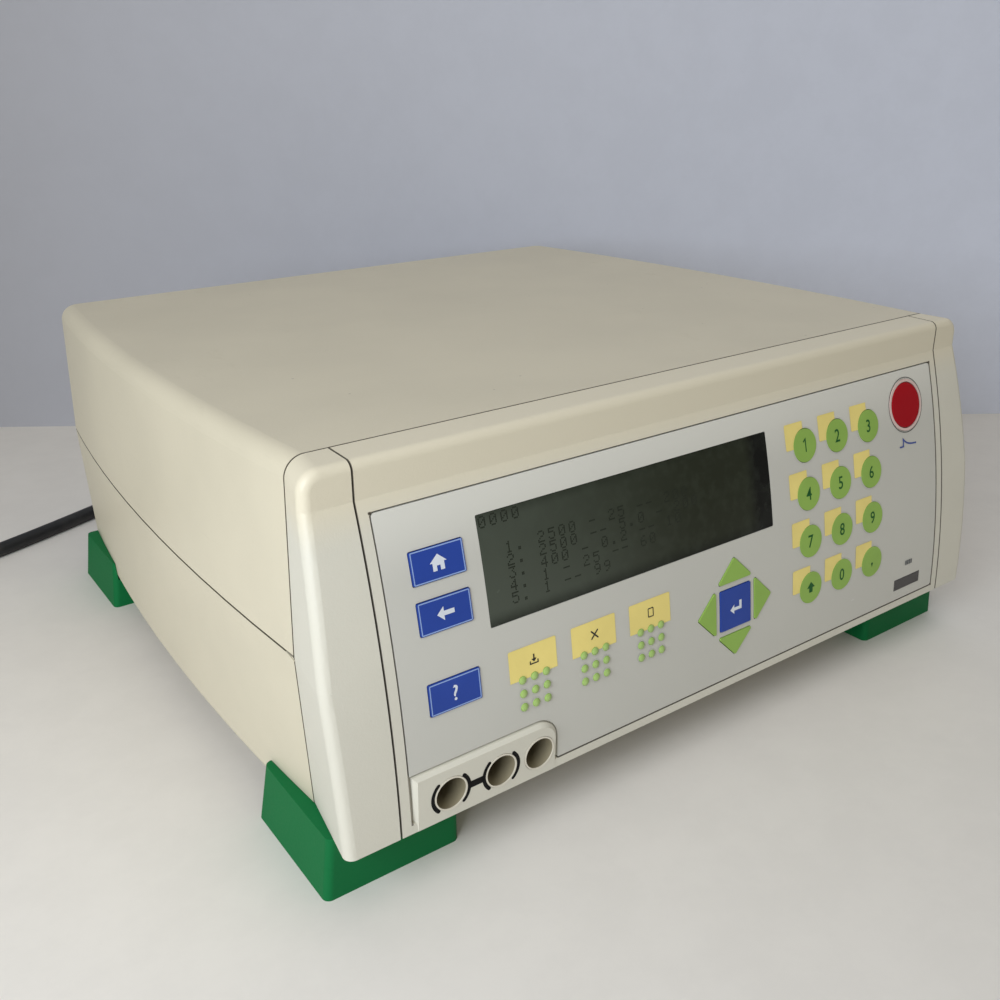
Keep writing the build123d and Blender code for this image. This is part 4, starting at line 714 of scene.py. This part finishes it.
# Figures on the round keys
figure_height = 4.9
figure_boldness = 0.009
digit_names = ("1", "2", "3", "4", "5", "6", "7", "8", "9", "shift", "0", "point")
round_places = [(x, z) for z in round_key_levels for x in round_key_x]
shift_sign = joined(
    shape([(0, 2.3), (-2.3, -0.1), (2.3, -0.1)]),
    shape([(-1.0, -0.1), (-1.0, -2.0), (1.0, -2.0), (1.0, -0.1)]),
)
one_sign = stroke([(-0.95, 1.35), (0.3, 2.3), (0.3, -2.45)], 0.52, False)
point_sign = joined(
    shape(arc(0.55, 0, 337.5, 16) + [0.1, -0.9]),
    shape([(0.63, -0.9), (0.1, -2.1), (-0.25, -2.0), (0.0, -1.3)]),
)
drawn_signs = {"shift": shift_sign, "point": point_sign, "1": one_sign}

# A ring of film round each key, and a yellow square that peeks out from behind it, up and to the
# left: its three far corners, and a bite as wide as the key whose ends turn on by a small angle
film_radius = round_key_radius + film_gap
film_ring = ring(film_radius, round_key_radius + key_gap + film_lap, 48)
label_corners = rounded(10.0, 9.5, 0.7)[5:15] + [-5.4, 4.35]
label_turn = math.degrees(math.asin(0.4 / film_radius))
label_bite = arc(film_radius, 180 + label_turn, 90 + label_turn, 14)
label = shape(np.vstack([[(-0.4, 9.1)], label_corners, label_bite]))

yellow_faces = []
ring_faces = []
for key_name, (x, z) in zip(digit_names, round_places):
    if key_name in drawn_signs:
        drawing = drawn_signs[key_name]
    else:
        drawing = figure(key_name, figure_height, boldness=figure_boldness)
    body = f"digit_{key_name}" if key_name.isdigit() else f"{key_name}_key"
    proud = round_key_proud + ink_height
    put(f"print_{body}", moved(drawing, x, z), ink_green, on_front, proud, body)
    ring_faces.append(moved(film_ring, x, z))
    yellow_faces.append(moved(label, x, z))

# Domes: shallow caps on the three groups of nine small key tops
dome_radius = 1.35
dome_top_radius = 1.4
dome_height = 0.6
dome_pitch = 4.65
dome_x = (-83.0, -58.2, -33.4)
dome_z = 53.8


def dome_places(x):
    """Middles of the nine domes of the group at x, row by row from below."""
    steps = (-1, 0, 1)
    return [(x + right * dome_pitch, dome_z + up * dome_pitch) for up in steps for right in steps]


def dome_caps(x):
    """Nine caps of rings and spokes: at a share s of its radius a cap is higher by its height
    times (1 - s squared)."""
    shares = np.array([1.0, 0.92, 0.75, 0.5, 0.25])
    angles = np.radians(np.arange(0, 360, 22.5))
    circle = np.column_stack([np.cos(angles), np.sin(angles)])
    flat = np.vstack([circle * dome_radius * share for share in shares] + [[(0.0, 0.0)]])
    heights = dome_height * (1 - np.append(np.repeat(shares, len(angles)), 0.0) ** 2)
    count, spokes = len(flat), len(angles)
    faces = []
    for level in range(len(shares) - 1):
        for index in range(spokes):
            low, high = level * spokes, (level + 1) * spokes
            after = (index + 1) % spokes
            faces.append((low + index, low + after, high + after, high + index))
    last, tip = (len(shares) - 1) * spokes, count - 1
    faces += [(last + index, last + (index + 1) % spokes, tip) for index in range(spokes)]
    places = dome_places(x)
    caps = joined(*[moved((flat, faces), *place) for place in places])
    return caps, np.tile(heights, len(places))


for name, x in zip(("save_key", "delete_key", "clear_key"), dome_x):
    drawing, lifts = dome_caps(x)
    caps = put(f"domes_{name}", drawing, dome_green, on_front, key_proud + lifts, name)
    caps.data.shade_smooth()

# Yellow fields above the groups of domes, cut out round the top row
dome_gap_radius = dome_top_radius + film_gap
for x in dome_x:
    low_edge = [
        arc(dome_gap_radius, 176, 4, 9) + [shift, -0.15] for shift in (-dome_pitch, 0.0, dome_pitch)
    ]
    top_corners = rounded(18.6, 21.0, 0.6)[:10]
    field = np.vstack([[(-9.3, 0.0)], *low_edge, [(9.3, 0.0)], top_corners])
    yellow_faces.append(moved(shape(field), x - 0.1, 58.6))
    dome_ring = ring(dome_gap_radius, dome_top_radius + key_gap + film_lap, 24)
    ring_faces += [moved(dome_ring, *place) for place in dome_places(x)]
put("yellow_fields", joined(*yellow_faces), ink_yellow, on_front, ink_height, "base")
put("film_rings", joined(*ring_faces), finishes["overlay_grey"], on_front, ink_height / 2, "base")

# Signs on the yellow fields: keep, strike out, blank sheet
keep_sign = joined(
    stroke([(0, 1.5), (0, -0.2)], 0.5, False),
    shape([(-1.0, 0.0), (0, -1.1), (1.0, 0.0)]),
    stroke([(-1.5, -0.6), (-1.5, -1.6), (1.5, -1.6), (1.5, -0.6)], 0.4, False),
)
strike_sign = joined(
    stroke([(-1.3, -1.3), (1.3, 1.3)], 0.5),
    stroke([(-1.3, 1.3), (1.3, -1.3)], 0.5),
)
sheet_sign = frame_line(2.6, 3.3, 0.4, 0.35)
field_signs = zip((keep_sign, strike_sign, sheet_sign), dome_x)
signs = joined(*[moved(sign, x + 0.2, 64.3) for sign, x in field_signs])
put("field_signs", signs, ink_dark_and_shade, on_front, 2 * ink_height, "base")

# Blue keys: a pale edge line and a white sign
function_size = (18.2, 10.1)
enter_size = (15.5, 15.5)
edge_inset = 0.5
edge_line = 0.35
house_sign = joined(
    shape([(-2.9, 0.1), (2.9, 0.1), (0.0, 2.5)]),
    shape([(-2.0, 0.1), (-2.0, -2.3), (-0.6, -2.3), (-0.6, 0.1)]),
    shape([(0.6, 0.1), (0.6, -2.3), (2.0, -2.3), (2.0, 0.1)]),
    shape([(-0.6, 0.1), (-0.6, -0.8), (0.6, -0.8), (0.6, 0.1)]),
)
back_sign = joined(
    shape([(-3.0, 0.0), (-0.6, -2.1), (-0.6, 2.1)]),
    shape([(-0.6, 0.7), (-0.6, -0.7), (3.0, -0.7), (3.0, 0.7)]),
)
enter_sign = joined(
    shape([(-3.0, -0.6), (-0.9, -2.4), (-0.9, 1.2)]),
    shape([(-0.9, 0.0), (-0.9, -1.2), (2.9, -1.2), (2.9, 0.0)]),
    shape([(1.7, 2.2), (1.7, 0.0), (2.9, 0.0), (2.9, 2.2)]),
)
help_sign = figure("?", 5.0, width_share=1.0)
blue_keys = (
    ("home_key", -112.2, 103.2, function_size, house_sign),
    ("back_key", -112.2, 88.3, function_size, back_sign),
    ("help_key", -112.2, 63.4, function_size, help_sign),
    ("enter_key", 7.9, 53.7, enter_size, enter_sign),
)
for name, x, z, (width, height), sign in blue_keys:
    edge = frame_line(width - edge_inset, height - edge_inset, 0.4, edge_line)
    proud = key_proud + ink_height
    put(f"edge_{name}", moved(edge, x, z), ink_pale_blue, on_front, proud, name)
    put(f"print_{name}", moved(sign, x, z), ink_white, on_front, proud, name)

# Waveform under the red button: up at once, then down along a falling exponential
decay = [(-5.4, -1.4), (-3.0, -1.4), (-3.0, 1.5)]
decay += [(-3.0 + 8.4 * t, -1.4 + 2.9 * math.exp(-3.4 * t)) for t in np.linspace(0.08, 1.0, 12)]
wave_sign = moved(stroke(decay, 0.6, False), 112.0, 92.9)
put("wave_sign", wave_sign, ink_blue, on_front, ink_height, "base")

# Painted shade: a fine dark line round the red button's ring
button_x, button_z = 112.2, 107.6
button_shade_line = moved(ring(10.62, 10.88, 64), button_x, button_z)
put("button_shade_line", button_shade_line, ink_dark_and_shade, on_front, ink_height, "base")

# Four small marks above the dark window
mark_shifts = (-1.8, -0.6, 0.6, 1.8)
marks = joined(*[stroke([(shift, -1.0), (shift, 1.0)], 0.95, False) for shift in mark_shifts])
put("small_marks", moved(marks, 112.9, 41.5), ink_grey, on_front, ink_height, "base")

# Black arcs beside the first two sockets, and the bar that joins them
first_socket_x, second_socket_x, arcs_z = -117.0, -98.3, 31.25
arc_radius = 6.65
arc_half_angle = 46
arc_line = 1.25
bar_inset = 6.9
bar_line = 2.5
arcs = [
    moved(stroke(arc(arc_radius, start, start + 2 * arc_half_angle, 19), arc_line), x, arcs_z)
    for x in (first_socket_x, second_socket_x)
    for start in (180 - arc_half_angle, -arc_half_angle)
]
bar_ends = [(first_socket_x + bar_inset, arcs_z), (second_socket_x - bar_inset, arcs_z)]
bar = stroke(bar_ends, bar_line, False)
put("socket_arcs", joined(*arcs, bar), ink_black, on_block, ink_height, "base")

# Figures on the display, each of square dots
dot_rows = {
    "0": "01110 10001 10011 10101 11001 10001 01110",
    "1": "00100 01100 00100 00100 00100 00100 01110",
    "2": "01110 10001 00001 00110 01000 10000 11111",
    "3": "11111 00010 00100 00010 00001 10001 01110",
    "4": "00010 00110 01010 10010 11111 00010 00010",
    "5": "11111 10000 11110 00001 00001 10001 01110",
    "6": "00110 01000 10000 11110 10001 10001 01110",
    "7": "11111 00001 00010 00100 01000 01000 01000",
    "8": "01110 10001 10001 01110 10001 10001 01110",
    "9": "01110 10001 10001 01111 00001 00010 01100",
    ".": "00000 00000 00000 00000 00000 01100 01100",
    "-": "00000 00000 00000 11111 00000 00000 00000",
    " ": "00000 00000 00000 00000 00000 00000 00000",
}
# Line, first column and characters of each row on the display
display_lines = (
    (0, 0, "0000"),
    (2, 2, "1. 2500 - 25 -- 200"),
    (3, 2, "2. 2500 -- 5.0 - 200"),
    (4, 2, "3. 400 - 0.2 -- 10"),
    (5, 2, "4. 1 - 25 -- 60"),
    (6, 2, "5. 1 -- 99"),
)
character_pitch = 4.1
line_pitch = 3.95
dot_pitch = 0.52
dot_size = 0.46
margin_left = 0.6
margin_top = 0.5
heading_gap = 1.5


def dots():
    """Squares of the lit dots: for each character its column times the pitch, for each line its row
    down from the pane's top, and for each dot its place in the 5 by 7 field."""
    places = []
    for row, column, text in display_lines:
        for index, character in enumerate(text):
            lit = np.array([[int(dot) for dot in line] for line in dot_rows[character].split()])
            down, across = np.nonzero(lit)
            below_heading = heading_gap if row else 0.0
            x = pane_left_x + margin_left + (column + index) * character_pitch + across * dot_pitch
            z = pane_top_z - margin_top - row * line_pitch - below_heading - down * dot_pitch
            places.append(np.column_stack([x, z]))
    places = np.vstack(places)
    corners = np.array([(0, -1), (1, -1), (1, 0), (0, 0)]) * dot_size
    points = (places[:, None, :] + corners[None]).reshape(-1, 2)
    return points, [tuple(range(4 * index, 4 * index + 4)) for index in range(len(places))]


put("display_figures", dots(), dots_ink, on_front, ink_height / 2 - pane_depth, "base")

# ---------------------------------------------------------------- bench, wall and lamps


def flat_piece(name, corners, colour, roughness, left_shade_colour=None):
    """A plain sheet of the stage with a faint grain. One with a painted shade colour for its left
    turns from that darker shade to its own colour from left to right, and its back is clear."""
    mesh = bpy.data.meshes.new(name)
    mesh.from_pydata(corners, [], [tuple(range(len(corners)))])
    finish = Finish(name, specular=0.3)
    grain = finish.noise(35.0, 5.0, 0.7)
    base = finish.mix(grain.band(0.35, 0.65), varied(colour, -0.03), colour)
    if left_shade_colour:
        # Painted shade: the sheet turns from the darker left colour to its own from left to right
        base = finish.mix(finish.axis(0).band(-0.6, 0.7), left_shade_colour, base)
    finish.set("Base Color", base)
    finish.set("Roughness", roughness)
    if left_shade_colour:
        behind = finish.node("ShaderNodeNewGeometry").outputs["Backfacing"]
        clear = finish.node("ShaderNodeBsdfTransparent").outputs[0]
        shown = finish.shader.outputs[0]
        blend = finish.node("ShaderNodeMixShader", {}, {0: behind, 1: shown, 2: clear})
        finish.links.new(blend.outputs[0], finish.nodes["Material Output"].inputs[0])
    mesh.materials.append(finish.material)
    piece = bpy.data.objects.new(name, mesh)
    bpy.context.scene.collection.objects.link(piece)


half_bench = 4                  # in metres, as is the wall's height
wall_height = 3
bench_sides = ((-1, -1), (1, -1), (1, 1), (-1, 1))
bench_corners = [(right * half_bench, back * half_bench, 0) for right, back in bench_sides]
flat_piece("bench", bench_corners, linear(233, 229, 222), 0.5)
wall_away = np.array([0.5675, 0.8234])
wall_way = np.array([0.8234, -0.5675])
wall_foot = np.array([-0.137, 0.376]) + 0.029 * wall_away
left_foot, right_foot = wall_foot - half_bench * wall_way, wall_foot + half_bench * wall_way
wall_corners = [
    (*left_foot, 0),
    (*right_foot, 0),
    (*right_foot, wall_height),
    (*left_foot, wall_height),
]
# Painted shade: the wall darker and greyer towards its left
flat_piece("wall", wall_corners, linear(230, 236, 252), 0.7, left_shade_colour=linear(146, 142, 138))


def area_lamp(name, place, target, size, power, colour):
    """A square soft lamp that faces a point: its -Z axis goes from place to target."""
    data = bpy.data.lights.new(name, "AREA")
    data.size = size
    data.energy = power
    data.color = colour
    lamp = bpy.data.objects.new(name, data)
    way = np.array(target, float) - np.array(place, float)
    lamp.rotation_mode = "QUATERNION"
    lamp.location = place
    lamp.rotation_quaternion = Vector(way.tolist()).to_track_quat("-Z", "Y")
    bpy.context.scene.collection.objects.link(lamp)


cool_light = (0.94, 1.0, 1.09)
warm_light = (1.0, 0.96, 0.88)
area_lamp("window_lamp", (-0.62, -0.36, 0.37), (-0.02, -0.04, 0.06), 0.4, 3.5, cool_light)
area_lamp("room_lamp", (-0.05, -0.5, 1.5), (0, -0.05, 0.05), 1.2, 4.5, warm_light)

world = bpy.data.worlds.new("studio")
world.use_nodes = True
sky = world.node_tree.nodes["Background"]
sky.inputs["Color"].default_value = (*warm_light, 1.0)
sky.inputs["Strength"].default_value = 0.25
bpy.context.scene.world = world
bpy.context.scene.view_settings.view_transform = "Standard"
